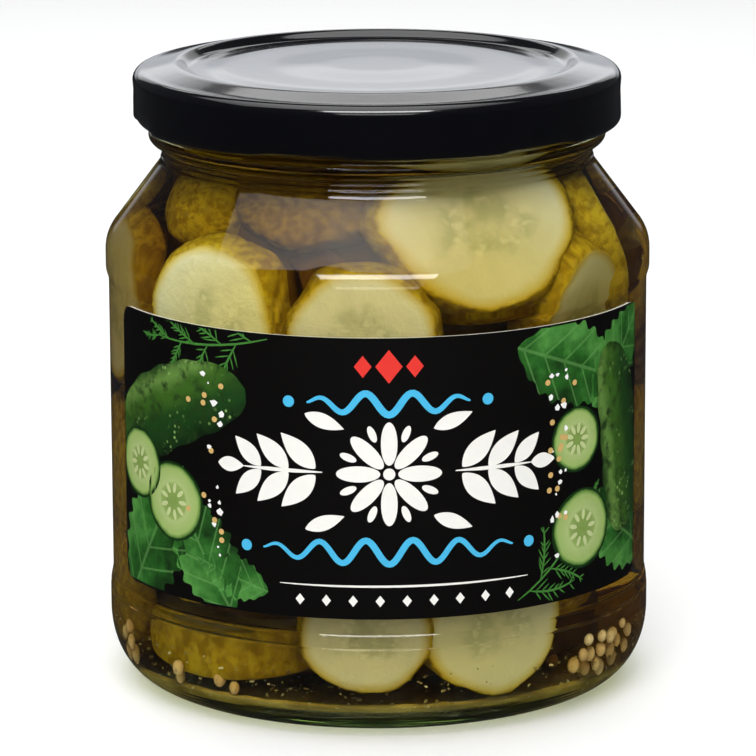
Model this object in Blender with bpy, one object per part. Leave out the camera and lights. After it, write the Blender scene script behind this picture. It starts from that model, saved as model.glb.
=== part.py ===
"""A shut glass jar of sliced pickles: jar, twist-off lid, wrap label and the heap of slices.

Lengths are in metres in the scene. The named sizes are in millimetres and go through MM.
The jar stands on the origin, its axis is Z, and the label faces -Y.
"""

import math
import random

import bmesh
import bpy
from mathutils import Matrix, Vector

MM = 0.001

# Jar: outer wall
BODY_RADIUS = 48.1
PANEL_RADIUS = 47.6
FOOT_INNER_RADIUS = 33.5
FOOT_OUTER_RADIUS = 36.2
HEEL_START_RADIUS = 39.8
HEEL_START = 0.7
HEEL_TOP = 12.7
PUSH_UP_HEIGHT = 1.8
LOWER_ROLL_TOP = 16.5
PANEL_BOTTOM = 20.5
PANEL_TOP = 72.4
UPPER_ROLL_BOTTOM = 74.6
SHOULDER_START = 77.6
SHOULDER_BEND_RADIUS = 7.4
SHOULDER_SLOPE = 37.8
NECK_RADIUS = 37.8
NECK_HEIGHT = 95.1
NECK_FILLET_RADIUS = 4.0
BEAD_RADIUS = 40.25
BEAD_BOTTOM = 96.3
BEAD_TOP = 99.6
FINISH_RADIUS = 38.9
RIM_HEIGHT = 108.7

# Jar: inner wall
WALL = 2.4
FLOOR_HEIGHT = 4.2
FLOOR_RADIUS = 35.5
INNER_HEEL_HEIGHT = 11.0
INNER_NECK_RADIUS = 35.0
MOUTH_RADIUS = 36.3
RIM_ROUNDING = 1.2

# Lid
LID_RADIUS = 42.9
LID_SHEET = 0.45
SKIRT_BOTTOM = 99.9
CURL_RADIUS = 1.25
LID_CORNER_RADIUS = 1.85
LID_SHOULDER_HEIGHT = 109.55
LID_RING_RADIUS = 35.2
LID_HEIGHT = 110.7
PANEL_EDGE_RADIUS = 33.9
LID_PANEL_HEIGHT = 109.4
PANEL_STEP_RADIUS = 27.5
PANEL_STEP = 0.25
BUTTON_RADIUS = 13.0
BUTTON_STEP = 0.3

# Label
LABEL_GAP = 0.25
LABEL_THICKNESS = 0.25
LABEL_BOTTOM = 22.2
LABEL_TOP = 71.1
LABEL_HALF_ANGLE = 68.0
LABEL_CENTRE_ANGLE = 1.0
LABEL_CORNER_RADIUS = 3.0

# Contents
CLEARANCE = 0.4
CORE_RADIUS = 37.2
CORE_SEGMENTS = 24
SEED_RADIUS = 1.15
FIRM_THICKNESS = 0.5
FIRM_RADIUS = 0.84
FILL_TRIES = 900
FILL_DEPTHS = (0.0, 1.5, 3.0, 4.5)
HEAP_BOTTOM = 16.0
HEAP_TOP = 90.0
FRONT_ARC = 80.0

SMOOTH_ANGLE = 35.0
JAR_SEGMENTS = 60
LID_SEGMENTS = 60
LABEL_SEGMENTS = 40
SLICE_SIDES = 14

GLASS = ("clear_glass", (0.86, 0.9, 0.84), 0.02, 0.0)
LACQUER = ("black_lacquer", (0.012, 0.012, 0.018), 0.16, 0.0)
PAPER = ("printed_paper", (0.025, 0.022, 0.022), 0.38, 0.0)
PICKLE = ("pickle_flesh", (0.62, 0.56, 0.24), 0.35, 0.0)

# Slices that show at the front: angle round the jar, height of the middle, distance from the
# axis, half width, half height, thickness, turn about the upright, lean back, roll, taper.
FRONT_SLICES = {
    "upper_left": (-39, 73.5, 43.5, 13.0, 12.4, 7.5, -6, 3, 0, 0.0),
    "upper_middle": (-3.5, 71.3, 43.5, 12.8, 12.2, 7.0, 0, 6, 0, 0.02),
    "upper_big": (24, 85.6, 40.5, 17.0, 12.8, 6.0, -10, 26, -8, 0.14),
    "right_behind": (52, 72.5, 40.0, 10.5, 11.0, 8.5, 6, -26, 0, 0.0),
    "right_low": (43, 61.0, 42.5, 11.0, 10.5, 8.0, 0, -14, 0, 0.0),
    "right_edge_on": (72, 79.0, 38.5, 12.0, 13.0, 9.0, 62, 12, 0, 0.0),
    "left_wall": (-80, 69.0, 43.5, 12.0, 14.0, 6.5, 4, 4, 0, 0.0),
    "left_behind": (-62, 84.0, 38.0, 10.5, 9.5, 7.0, -8, 28, 10, 0.0),
    "middle_behind": (-22, 88.5, 34.5, 12.0, 8.5, 6.5, 6, 34, 0, 0.0),
    "low_left_flat": (-45, 12.5, 32.0, 17.0, 14.0, 8.0, 0, 80, 10, 0.0),
    "low_left_upright": (-47, 28.5, 42.5, 11.0, 10.0, 7.0, 0, 4, 0, 0.0),
    "low_middle": (-3, 19.3, 43.5, 11.6, 11.6, 7.0, 0, -8, 0, 0.0),
    "low_right": (27.5, 19.3, 43.0, 13.2, 12.6, 8.0, -4, -10, 0, 0.0),
    "low_far_right": (60, 23.0, 37.0, 11.0, 9.0, 7.0, 14, -20, 0, 0.0),
}

# Seed clusters near the floor: angle, spread of the angle, lowest and highest middle, count.
SEED_CLUSTERS = (
    (-37, 4, 6.0, 8.0, 4),
    (-56, 4, 6.2, 8.5, 3),
    (-74, 5, 7.0, 12.5, 5),
    (5, 5, 5.8, 6.6, 3),
    (62, 12, 6.0, 11.5, 9),
    (115, 20, 5.8, 10.0, 6),
    (180, 40, 5.8, 9.0, 8),
    (-125, 25, 5.8, 10.0, 6),
)


def clear_scene():
    for obj in list(bpy.data.objects):
        bpy.data.objects.remove(obj, do_unlink=True)


def material(name, colour, roughness, metallic):
    made = bpy.data.materials.new(name)
    made.use_nodes = True
    shader = made.node_tree.nodes["Principled BSDF"]
    shader.inputs["Base Color"].default_value = (*colour, 1.0)
    shader.inputs["Roughness"].default_value = roughness
    shader.inputs["Metallic"].default_value = metallic
    made.diffuse_color = (*colour, 1.0)
    return made


def add_object(name, mesh_data, finish):
    """Makes a named object of a bmesh in millimetres, with its own material."""
    bmesh.ops.recalc_face_normals(mesh_data, faces=mesh_data.faces)
    bmesh.ops.scale(mesh_data, vec=(MM, MM, MM), verts=mesh_data.verts)
    mesh = bpy.data.meshes.new(name)
    mesh_data.to_mesh(mesh)
    mesh_data.free()
    mesh.shade_smooth()
    mesh.set_sharp_from_angle(angle=math.radians(SMOOTH_ANGLE))
    obj = bpy.data.objects.new(name, mesh)
    bpy.context.scene.collection.objects.link(obj)
    obj.data.materials.append(material(*finish))
    return obj


def arc(centre, radius, start, end, steps):
    """Points on a round stretch of an outline, from one angle in degrees to another."""
    points = []
    for i in range(steps + 1):
        angle = math.radians(start + (end - start) * i / steps)
        points.append(
            (centre[0] + radius * math.cos(angle), centre[1] + radius * math.sin(angle))
        )
    return points


def heel(foot_radius, foot_height, side_radius, side_height, steps):
    """The quarter ellipse from a jar's floor to its side."""
    points = []
    for i in range(steps + 1):
        angle = math.radians(90 * i / steps)
        points.append(
            (
                foot_radius + (side_radius - foot_radius) * math.sin(angle),
                side_height - (side_height - foot_height) * math.cos(angle),
            )
        )
    return points


def turned(outline, segments):
    """Spins an outline that starts and ends on the axis into a closed bmesh."""
    made = bmesh.new()
    verts = [made.verts.new((radius, 0, height)) for radius, height in outline]
    edges = [made.edges.new(pair) for pair in zip(verts, verts[1:])]
    bmesh.ops.spin(
        made,
        geom=verts + edges,
        cent=(0, 0, 0),
        axis=(0, 0, 1),
        angle=math.tau,
        steps=segments,
    )
    bmesh.ops.remove_doubles(made, verts=made.verts, dist=1e-4)
    return made


def outer_wall():
    """The jar's outside, from the middle of its foot up to the rim."""
    foot = [
        (0, PUSH_UP_HEIGHT),
        (FOOT_INNER_RADIUS * 0.8, PUSH_UP_HEIGHT * 0.8),
        (FOOT_INNER_RADIUS, 0),
        (FOOT_OUTER_RADIUS, 0),
    ]
    side = [
        (BODY_RADIUS, LOWER_ROLL_TOP),
        (PANEL_RADIUS, PANEL_BOTTOM),
        (PANEL_RADIUS, PANEL_TOP),
        (BODY_RADIUS, UPPER_ROLL_BOTTOM),
    ]
    bend_centre = (BODY_RADIUS - SHOULDER_BEND_RADIUS, SHOULDER_START)
    shoulder = arc(bend_centre, SHOULDER_BEND_RADIUS, 0, SHOULDER_SLOPE, 4)
    fillet_centre = (NECK_RADIUS + NECK_FILLET_RADIUS, NECK_HEIGHT)
    fillet = arc(fillet_centre, NECK_FILLET_RADIUS, 180 + SHOULDER_SLOPE, 180, 3)
    bead = heel(NECK_RADIUS, BEAD_BOTTOM, BEAD_RADIUS, BEAD_TOP, 2)
    finish = [
        (FINISH_RADIUS, BEAD_TOP + 1.2),
        (FINISH_RADIUS, RIM_HEIGHT - RIM_ROUNDING),
    ]
    return (
        foot
        + heel(HEEL_START_RADIUS, HEEL_START, BODY_RADIUS, HEEL_TOP, 6)
        + side
        + shoulder
        + fillet
        + bead
        + finish
    )


def inner_wall():
    """The jar's inside, from the mouth down to the middle of its floor."""
    inner_radius = PANEL_RADIUS - WALL
    rim_centre = (FINISH_RADIUS - RIM_ROUNDING, RIM_HEIGHT - RIM_ROUNDING)
    shoulder_centre = (inner_radius - SHOULDER_BEND_RADIUS, SHOULDER_START - 1)
    inner_heel = heel(
        FLOOR_RADIUS, FLOOR_HEIGHT, inner_radius, FLOOR_HEIGHT + INNER_HEEL_HEIGHT, 5
    )
    return (
        arc(rim_centre, RIM_ROUNDING, 45, 90, 1)
        + [
            (MOUTH_RADIUS, RIM_HEIGHT - 0.6),
            (INNER_NECK_RADIUS, BEAD_TOP),
            (INNER_NECK_RADIUS, NECK_HEIGHT - 1.2),
        ]
        + arc(shoulder_centre, SHOULDER_BEND_RADIUS, SHOULDER_SLOPE, 0, 3)
        + inner_heel[::-1]
        + [(0, FLOOR_HEIGHT + PUSH_UP_HEIGHT * 0.8)]
    )


def make_jar():
    return add_object("glass_jar", turned(outer_wall() + inner_wall(), JAR_SEGMENTS), GLASS)


def lid_outline():
    """The lid's sheet: the outside from the middle of the top to the curl, then back inside."""
    corner_height = LID_SHOULDER_HEIGHT - LID_CORNER_RADIUS
    corner_centre = (LID_RADIUS - LID_CORNER_RADIUS, corner_height)
    curl_centre = (LID_RADIUS - CURL_RADIUS, SKIRT_BOTTOM + CURL_RADIUS)
    step_height = LID_PANEL_HEIGHT + PANEL_STEP
    button_height = step_height + BUTTON_STEP
    top = [
        (0, button_height),
        (BUTTON_RADIUS, button_height),
        (BUTTON_RADIUS + 1, step_height),
        (PANEL_STEP_RADIUS, step_height),
        (PANEL_STEP_RADIUS + 0.8, LID_PANEL_HEIGHT),
        (PANEL_EDGE_RADIUS, LID_PANEL_HEIGHT),
        (LID_RING_RADIUS - 0.4, LID_HEIGHT - 0.15),
        (LID_RING_RADIUS + 0.6, LID_HEIGHT),
    ]
    corner = arc(corner_centre, LID_CORNER_RADIUS, 90, 0, 4)
    curl = arc(curl_centre, CURL_RADIUS, 0, -180, 5)
    sheet = LID_SHEET
    inside = [
        (LID_RADIUS - sheet, SKIRT_BOTTOM + 2.2 * CURL_RADIUS),
        (LID_RADIUS - sheet, corner_height),
        (LID_RADIUS - LID_CORNER_RADIUS, LID_SHOULDER_HEIGHT - sheet),
        (LID_RING_RADIUS + 0.5, LID_HEIGHT - sheet),
        (PANEL_EDGE_RADIUS + 0.2, LID_PANEL_HEIGHT - sheet),
        (PANEL_STEP_RADIUS, LID_PANEL_HEIGHT - sheet),
        (BUTTON_RADIUS, step_height - sheet),
        (0, button_height - sheet),
    ]
    return top + corner + curl + inside


def make_lid():
    return add_object("lid", turned(lid_outline(), LID_SEGMENTS), LACQUER)


def on_cylinder(angle, radius, height):
    """A point round the jar. Angle 0 is the front, and it grows towards +X."""
    turn = math.radians(angle)
    return Vector((radius * math.sin(turn), -radius * math.cos(turn), height))


def label_edge(angle):
    """How far a label's top and bottom edges come in at this angle, for its round corners."""
    end = math.radians(LABEL_HALF_ANGLE - abs(angle)) * PANEL_RADIUS
    if end >= LABEL_CORNER_RADIUS:
        return 0.0
    along = LABEL_CORNER_RADIUS - end
    return LABEL_CORNER_RADIUS - math.sqrt(max(0, LABEL_CORNER_RADIUS**2 - along**2))


def label_angles():
    """Even steps along the label, with closer ones at its round corners."""
    corner = math.degrees(LABEL_CORNER_RADIUS / PANEL_RADIUS)
    straight = LABEL_HALF_ANGLE - corner
    even = [straight * (2 * i / LABEL_SEGMENTS - 1) for i in range(LABEL_SEGMENTS + 1)]
    ends = [straight + corner * share for share in (0.4, 0.75, 1.0)]
    return [-a for a in reversed(ends)] + even + ends


def make_label():
    """A thin sheet bent round the jar's recessed panel."""
    inner = PANEL_RADIUS + LABEL_GAP
    outer = inner + LABEL_THICKNESS
    made = bmesh.new()
    rings = []
    for angle in label_angles():
        cut = min(label_edge(angle), LABEL_CORNER_RADIUS)
        low, high = LABEL_BOTTOM + cut, LABEL_TOP - cut
        turn = angle + LABEL_CENTRE_ANGLE
        corners = ((inner, low), (outer, low), (outer, high), (inner, high))
        rings.append([made.verts.new(on_cylinder(turn, r, z)) for r, z in corners])
    for here, there in zip(rings, rings[1:]):
        for i in range(4):
            j = (i + 1) % 4
            made.faces.new((here[i], here[j], there[j], there[i]))
    made.faces.new(rings[0])
    made.faces.new(rings[-1][::-1])
    return add_object("label", made, PAPER)


def cavity_radius(height):
    """The jar's inner radius at a height."""
    wall = sorted((z, r) for r, z in inner_wall() if r > 1)
    if height <= wall[0][0]:
        return wall[0][1]
    for (low_z, low_r), (high_z, high_r) in zip(wall, wall[1:]):
        if low_z <= height <= high_z and high_z > low_z:
            return low_r + (high_r - low_r) * (height - low_z) / (high_z - low_z)
    return wall[-1][1]


def slice_pose(place):
    """Where a slice lies, from its own frame, in which its outer face looks along -Y."""
    angle, height, distance, _, _, thickness, turn, lean, roll, _ = place
    return (
        Matrix.Translation(on_cylinder(angle, distance - thickness / 2, height))
        @ Matrix.Rotation(math.radians(angle + turn), 4, "Z")
        @ Matrix.Rotation(math.radians(-lean), 4, "X")
        @ Matrix.Rotation(math.radians(roll), 4, "Y")
    )


def slice_rings(place, lumps):
    """The outlines of a slice's outer and inner face, in its own frame."""
    _, _, _, half_width, half_height, thickness, _, _, _, taper = place
    rings = []
    for depth, size in ((-thickness / 2, 0.96), (thickness / 2, 1.0)):
        for i in range(SLICE_SIDES):
            a = math.tau * i / SLICE_SIDES
            swell = size * (1 + lumps[0] * math.cos(2 * a) + lumps[1] * math.sin(3 * a))
            wide = half_width * swell * (1 + taper * math.sin(a))
            rings.append(Vector((wide * math.cos(a), depth, half_height * swell * math.sin(a))))
    return rings


def settle(pose, rings, angle):
    """Moves a slice inwards and up until it clears the glass all round."""
    inward = -on_cylinder(angle, 1, 0)
    for _ in range(20):
        points = [pose @ p for p in rings]
        lift = max(0.0, FLOOR_HEIGHT + 1.4 + CLEARANCE - min(p.z for p in points))
        over = max(math.hypot(p.x, p.y) - cavity_radius(p.z) + CLEARANCE for p in points)
        if over <= 0 and lift <= 0:
            break
        pose = Matrix.Translation(inward * max(0.0, over + 0.05) + Vector((0, 0, lift))) @ pose
    return pose


def inside(point, slice_part):
    """Tells whether a point lies in the firm middle of a slice. The rest gives way."""
    place, _, _, unposed = slice_part
    p = unposed @ point
    flat = (p.x / place[3]) ** 2 + (p.z / place[4]) ** 2
    return abs(p.y) < place[5] * FIRM_THICKNESS / 2 and flat < FIRM_RADIUS**2


def lay_slice(place, draw, depth=0.0):
    """A slice as its sizes, its outlines, its settled pose and the way back from it."""
    lumps = (draw.uniform(-0.035, 0.035), draw.uniform(-0.035, 0.035))
    rings = slice_rings(place, lumps)
    pose = settle(slice_pose(place), rings, place[0])
    pose = Matrix.Translation(on_cylinder(place[0], -depth, 0)) @ pose
    return place, rings, pose, pose.inverted()


def crosses(one, other):
    """Tells whether two slices run into each other."""
    reach = max(one[0][3:5]) + max(other[0][3:5]) + (one[0][5] + other[0][5]) / 2
    if (one[2].translation - other[2].translation).length > reach:
        return False
    for a, b in ((one, other), (other, one)):
        shares = (1.0, 0.55, 0.0)
        if any(inside(a[2] @ (p * share), b) for p in a[1] for share in shares):
            return True
    return False


def random_place(step, draw):
    """Sizes and lie of a slice that the photograph doesn't settle, well spread over the wall."""
    angle = (step * 360 * 0.618034) % 360 - 180
    height = HEAP_BOTTOM + (HEAP_TOP - HEAP_BOTTOM) * ((step * 0.754878) % 1)
    size = draw.uniform(10.5, 14.0) * (0.85 if height > SHOULDER_START else 1.0)
    turn, lean = draw.uniform(-16, 16), draw.uniform(-16, 16)
    kind = draw.random()
    if kind < 0.08:
        turn = draw.choice((-1, 1)) * draw.uniform(50, 80)
    elif kind < 0.28:
        lean = draw.choice((-1, 1)) * draw.uniform(25, 65)
    elif height > SHOULDER_START:
        lean += SHOULDER_SLOPE * 0.7
    wide, thick = size * draw.uniform(0.95, 1.2), draw.uniform(5.5, 8.0)
    roll = draw.uniform(0, 90) if height < SHOULDER_START else 0.0
    return angle, height, 46.5, wide, size, thick, turn, lean, roll, 0.0


def lay_slices(draw):
    """The front's slices by hand, then others wherever they find room, near the glass first."""
    laid = [lay_slice(place, draw) for place in FRONT_SLICES.values()]
    for step in range(FILL_TRIES):
        place = random_place(step, draw)
        if abs(place[0]) < FRONT_ARC and not LABEL_BOTTOM + 8 < place[1] < LABEL_TOP - 8:
            continue
        for depth in FILL_DEPTHS:
            new = lay_slice(place, draw, depth)
            if not any(crosses(new, other) for other in laid):
                laid.append(new)
                break
    return laid


def make_slice(rings, pose):
    """One slice in the jar, as a closed object for the union."""
    made = bmesh.new()
    verts = [made.verts.new(pose @ p) for p in rings]
    near, far = verts[:SLICE_SIDES], verts[SLICE_SIDES:]
    made.faces.new(near)
    made.faces.new(far[::-1])
    for i in range(SLICE_SIDES):
        j = (i + 1) % SLICE_SIDES
        made.faces.new((near[i], near[j], far[j], far[i]))
    return add_object("slice", made, PICKLE)


def make_core():
    """The inside of the heap, which the slices and the seeds are fused to."""
    outline = [
        (0, FLOOR_HEIGHT + 1.9),
        (38.0, FLOOR_HEIGHT + 1.6),
        (40.6, FLOOR_HEIGHT + 3.4),
        (41.0, FLOOR_HEIGHT + 7.0),
        (CORE_RADIUS, FLOOR_HEIGHT + 12.0),
        (CORE_RADIUS, SHOULDER_START),
        (28.0, NECK_HEIGHT - 3),
        (0, NECK_HEIGHT - 1),
    ]
    return add_object("pickle_slices", turned(outline, CORE_SEGMENTS), PICKLE)


def make_seed(angle, height, distance):
    """A mustard seed as a plain ball of twenty faces."""
    made = bmesh.new()
    bmesh.ops.create_icosphere(made, subdivisions=1, radius=SEED_RADIUS)
    bmesh.ops.translate(made, vec=on_cylinder(angle, distance, height), verts=made.verts)
    return add_object("seed", made, PICKLE)


def make_seeds(draw):
    seeds = []
    for middle, spread, low, high, count in SEED_CLUSTERS:
        for _ in range(count):
            height = draw.uniform(low, high)
            reach = min(cavity_radius(height - SEED_RADIUS), cavity_radius(height))
            distance = min(reach - SEED_RADIUS - CLEARANCE, 41.2)
            seeds.append(make_seed(middle + draw.uniform(-spread, spread), height, distance))
    return seeds


def keep_largest_body(obj):
    """Drops what the union left loose or sealed inside, and keeps the heap."""
    made = bmesh.new()
    made.from_mesh(obj.data)
    waiting = set(made.verts)
    bodies = []
    while waiting:
        body, edge_of_search = set(), [waiting.pop()]
        while edge_of_search:
            vert = edge_of_search.pop()
            body.add(vert)
            for edge in vert.link_edges:
                other = edge.other_vert(vert)
                if other in waiting:
                    waiting.discard(other)
                    edge_of_search.append(other)
        bodies.append(body)
    heap = max(bodies, key=len)
    bmesh.ops.delete(made, geom=[v for v in made.verts if v not in heap], context="VERTS")
    made.to_mesh(obj.data)
    made.free()
    obj.data.shade_smooth()
    obj.data.set_sharp_from_angle(angle=math.radians(SMOOTH_ANGLE))


def make_heap():
    """Slices and seeds joined with a smaller core into one solid."""
    draw = random.Random(11)
    core = make_core()
    pieces = [make_slice(rings, pose) for _, rings, pose, _ in lay_slices(draw)]
    pieces += make_seeds(draw)
    group = bpy.data.collections.new("heap_pieces")
    for piece in pieces:
        bpy.context.scene.collection.objects.unlink(piece)
        group.objects.link(piece)
    union = core.modifiers.new("join", "BOOLEAN")
    union.operation = "UNION"
    union.solver = "EXACT"
    union.operand_type = "COLLECTION"
    union.collection = group
    graph = bpy.context.evaluated_depsgraph_get()
    joined = bpy.data.meshes.new_from_object(core.evaluated_get(graph))
    core.modifiers.clear()
    core.data = joined
    core.data.materials.clear()
    core.data.materials.append(material(*PICKLE))
    for piece in pieces:
        bpy.data.objects.remove(piece, do_unlink=True)
    bpy.data.collections.remove(group)
    keep_largest_body(core)
    return core


clear_scene()
make_jar()
make_lid()
make_label()
make_heap()
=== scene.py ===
"""The looks of a shut glass jar of sliced pickles, laid out as an add-on and run as a script.

Sizes in the constants are in millimetres and go through MM. The jar stands on the origin, its
axis is Z, and the middle of the label faces -Y. Angles round the jar are in degrees: 0 is the
front, and they grow towards +X.
"""

import math
import random

import bmesh
import bpy
import numpy as np
from bpy.props import FloatProperty, FloatVectorProperty, IntProperty, PointerProperty
from bpy.types import Operator, Panel, PropertyGroup
from mathutils import Matrix, Vector, noise


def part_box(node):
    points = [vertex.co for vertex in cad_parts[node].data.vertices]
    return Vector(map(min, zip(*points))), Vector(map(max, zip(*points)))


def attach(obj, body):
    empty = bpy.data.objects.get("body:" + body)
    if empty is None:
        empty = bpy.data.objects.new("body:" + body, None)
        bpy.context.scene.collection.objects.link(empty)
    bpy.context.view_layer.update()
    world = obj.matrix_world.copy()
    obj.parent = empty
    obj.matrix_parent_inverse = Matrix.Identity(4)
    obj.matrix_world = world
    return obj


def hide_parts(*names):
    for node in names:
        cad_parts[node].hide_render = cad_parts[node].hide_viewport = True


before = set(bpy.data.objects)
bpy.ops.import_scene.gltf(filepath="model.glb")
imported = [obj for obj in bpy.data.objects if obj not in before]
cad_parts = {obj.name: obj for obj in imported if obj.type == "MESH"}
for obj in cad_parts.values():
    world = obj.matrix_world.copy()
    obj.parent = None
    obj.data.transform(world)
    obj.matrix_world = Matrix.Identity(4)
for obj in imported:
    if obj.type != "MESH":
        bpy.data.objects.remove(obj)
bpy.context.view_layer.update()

bl_info = {
    "name": "Pickle jar",
    "version": (1, 0, 0),
    "blender": (4, 5, 0),
    "location": "View3D > Sidebar > Pickle jar",
    "description": "Builds a shut jar of sliced pickles with its lid, label, brine and studio",
    "category": "Add Mesh",
}

MM = 0.001
BODY = "root"

JAR_LOW, JAR_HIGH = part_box("glass_jar")
LID_LOW, LID_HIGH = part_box("lid")
LABEL_LOW, LABEL_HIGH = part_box("label")

# Jar, outside
BODY_RADIUS = round(JAR_HIGH.x / MM, 2)
RIM_HEIGHT = round(JAR_HIGH.z / MM, 2)
PANEL_RADIUS = BODY_RADIUS - 0.5
FOOT_INNER_RADIUS = 33.5
FOOT_OUTER_RADIUS = 36.2
HEEL_START_RADIUS = 39.8
HEEL_START = 0.7
HEEL_TOP = 12.7
PUSH_UP_HEIGHT = 1.8
LOWER_ROLL_TOP = 16.5
PANEL_BOTTOM = 20.5
PANEL_TOP = 72.4
UPPER_ROLL_BOTTOM = 74.6
SHOULDER_START = 77.6
SHOULDER_BEND_RADIUS = 7.4
SHOULDER_SLOPE = 37.8
NECK_RADIUS = 37.8
NECK_HEIGHT = 95.1
NECK_FILLET_RADIUS = 4.0
BEAD_RADIUS = 40.25
BEAD_BOTTOM = 96.3
BEAD_TOP = 98.9
BEAD_ROUNDING = 0.9
FINISH_RADIUS = 38.9
FOOT_TEETH = 160
TOOTH_DEPTH = 0.16
HEEL_STEPS = 40
RIPPLE_TOP = 5.5
RIPPLE_DEPTH = 0.08
RIDGE_HEIGHTS = (94.0, 95.0, 96.0)
GROOVE_HEIGHTS = (17.0, 19.4)
RIDGE_SIZE = 0.19
RIDGE_WIDTH = 0.26
RIDGE_STEP = 0.1
GLASS_SEGMENTS = 2 * FOOT_TEETH
BRINE_SEGMENTS = 192

# Jar, inside
WALL = 2.4
FLOOR_HEIGHT = 4.2
FLOOR_RADIUS = 35.5
INNER_HEEL_HEIGHT = 11.0
INNER_NECK_RADIUS = 35.0
MOUTH_RADIUS = 36.3
RIM_ROUNDING = 1.2
WALL_UNEVENNESS = 0.12
BRINE_OVERLAP = 0.06
BRINE_CLIMB = 0.9
GLASS_IOR = 1.5
BRINE_IOR = 1.34
LACQUER_IOR = 1.5

# Lid
LID_RADIUS = round(LID_HIGH.x / MM, 2)
LID_HEIGHT = round(LID_HIGH.z / MM, 2)
SKIRT_BOTTOM = 99.9
LID_SHEET = 0.3
CURL_RADIUS = 1.25
LID_CORNER_RADIUS = 1.85
LID_SHOULDER_HEIGHT = 109.55
LID_RING_RADIUS = 35.2
PANEL_EDGE_RADIUS = 33.9
LID_PANEL_HEIGHT = 109.4
PANEL_STEP_RADIUS = 27.5
PANEL_STEP = 0.25
BUTTON_RADIUS = 13.0
BUTTON_STEP = 0.3
LUGS = 6
FIRST_LUG_ANGLE = 42.3
LUG_HALF_WIDTH = 10.5
LUG_DEPTH = 1.1
LID_SEGMENTS = 240

# Label
LABEL_BOTTOM = round(LABEL_LOW.z / MM, 2)
LABEL_TOP = round(LABEL_HIGH.z / MM, 2)
LABEL_INNER_RADIUS = PANEL_RADIUS + 0.02
PRINT_RADIUS = PANEL_RADIUS + 0.34
LABEL_HALF_ANGLE = 68.0
LABEL_CENTRE_ANGLE = 1.0
LABEL_CORNER_RADIUS = 3.0
LABEL_HEIGHT = LABEL_TOP - LABEL_BOTTOM
LABEL_HALF_LENGTH = math.radians(LABEL_HALF_ANGLE) * PRINT_RADIUS

# Contents. CLEARANCE is what a slice keeps from the glass. One at the front passes into the glass
# by PRESSED and is flattened there. BEND is how much slices bend along the wall, and FIRM and WHOLE
# are the shares of thickness and radius inside which two slices may not meet.
CLEARANCE = 0.4
PRESSED = -0.8
BEND = 0.8
BEND_RADIUS = 45.0
FIRM = (0.5, 0.84)
WHOLE = (1.1, 1.0)
SMOOTH_ANGLE = 38.0
SLICE_SIDES = 14
SLICE_FLOOR = FLOOR_HEIGHT + 1.4

# The slices that a rule lays: how many tries, how far back each may lie, lowest and highest middle,
# the steps that spread them evenly round and up, their distance from the axis, their sizes, which
# share of them stands edge on and up to which share leans, the part of the front that is left to
# FRONT_SLICES, and the share that ends in skin. From SIDE_START to SIDE_END all show their skin.
FILL_TRIES = 900
FILL_DEPTHS = (0.0, 1.5, 3.0, 4.5)
HEAP_BOTTOM = 16.0
HEAP_TOP = 90.0
STEP_ROUND = 360 * 0.618034
STEP_UP = 0.754878
NEAR_DISTANCE = 46.5
HALF_SIZES = (10.5, 14.0)
THICKNESSES = (5.5, 8.0)
EDGE_ON_SHARE = 0.08
LEANING_SHARE = 0.28
FRONT_ARC = 80.0
SKIN_END_SHARE = 0.12
# Painted shade with a brine tint for the slices from SIDE_START to SIDE_END.
SIDE_MURK = 0.6
SIDE_START = 60.0
SIDE_END = 104.0
DEEP_DISTANCE = 40.0
DEEP_HALF_SIZES = (9.5, 12.5)
FLOOR_SLICES = 9

# The core behind the slices, the seeds, the bits with how far they rise from the floor and spread
# from the wall, and the pulp: how high it reaches, what it keeps from the glass and its depth.
CORE_RADIUS = 29.0
CORE_TOP = 97.0
CORE_LUMPS = 0.13
SEED_RADIUS = 1.15
BIT_RISE = 6.5
BIT_SPREAD = 7.0
BIT_SIZES = (0.14, 0.42)
PULP_TOP = 6.0
PULP_GAP = 0.12
PULP_DEPTH = 0.45

# Colours in a cut slice and on its rind, and the painted shade with a brine tint that darkens
# slices lying deep in the jar
PALE_SEED = (0.8, 0.77, 0.54)
NEAR_RIND = (0.5, 0.37, 0.06)
LIGHT_RIND = (0.46, 0.32, 0.012)
WART = (0.5, 0.37, 0.04)
MURK = (0.4, 0.28, 0.1)
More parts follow.
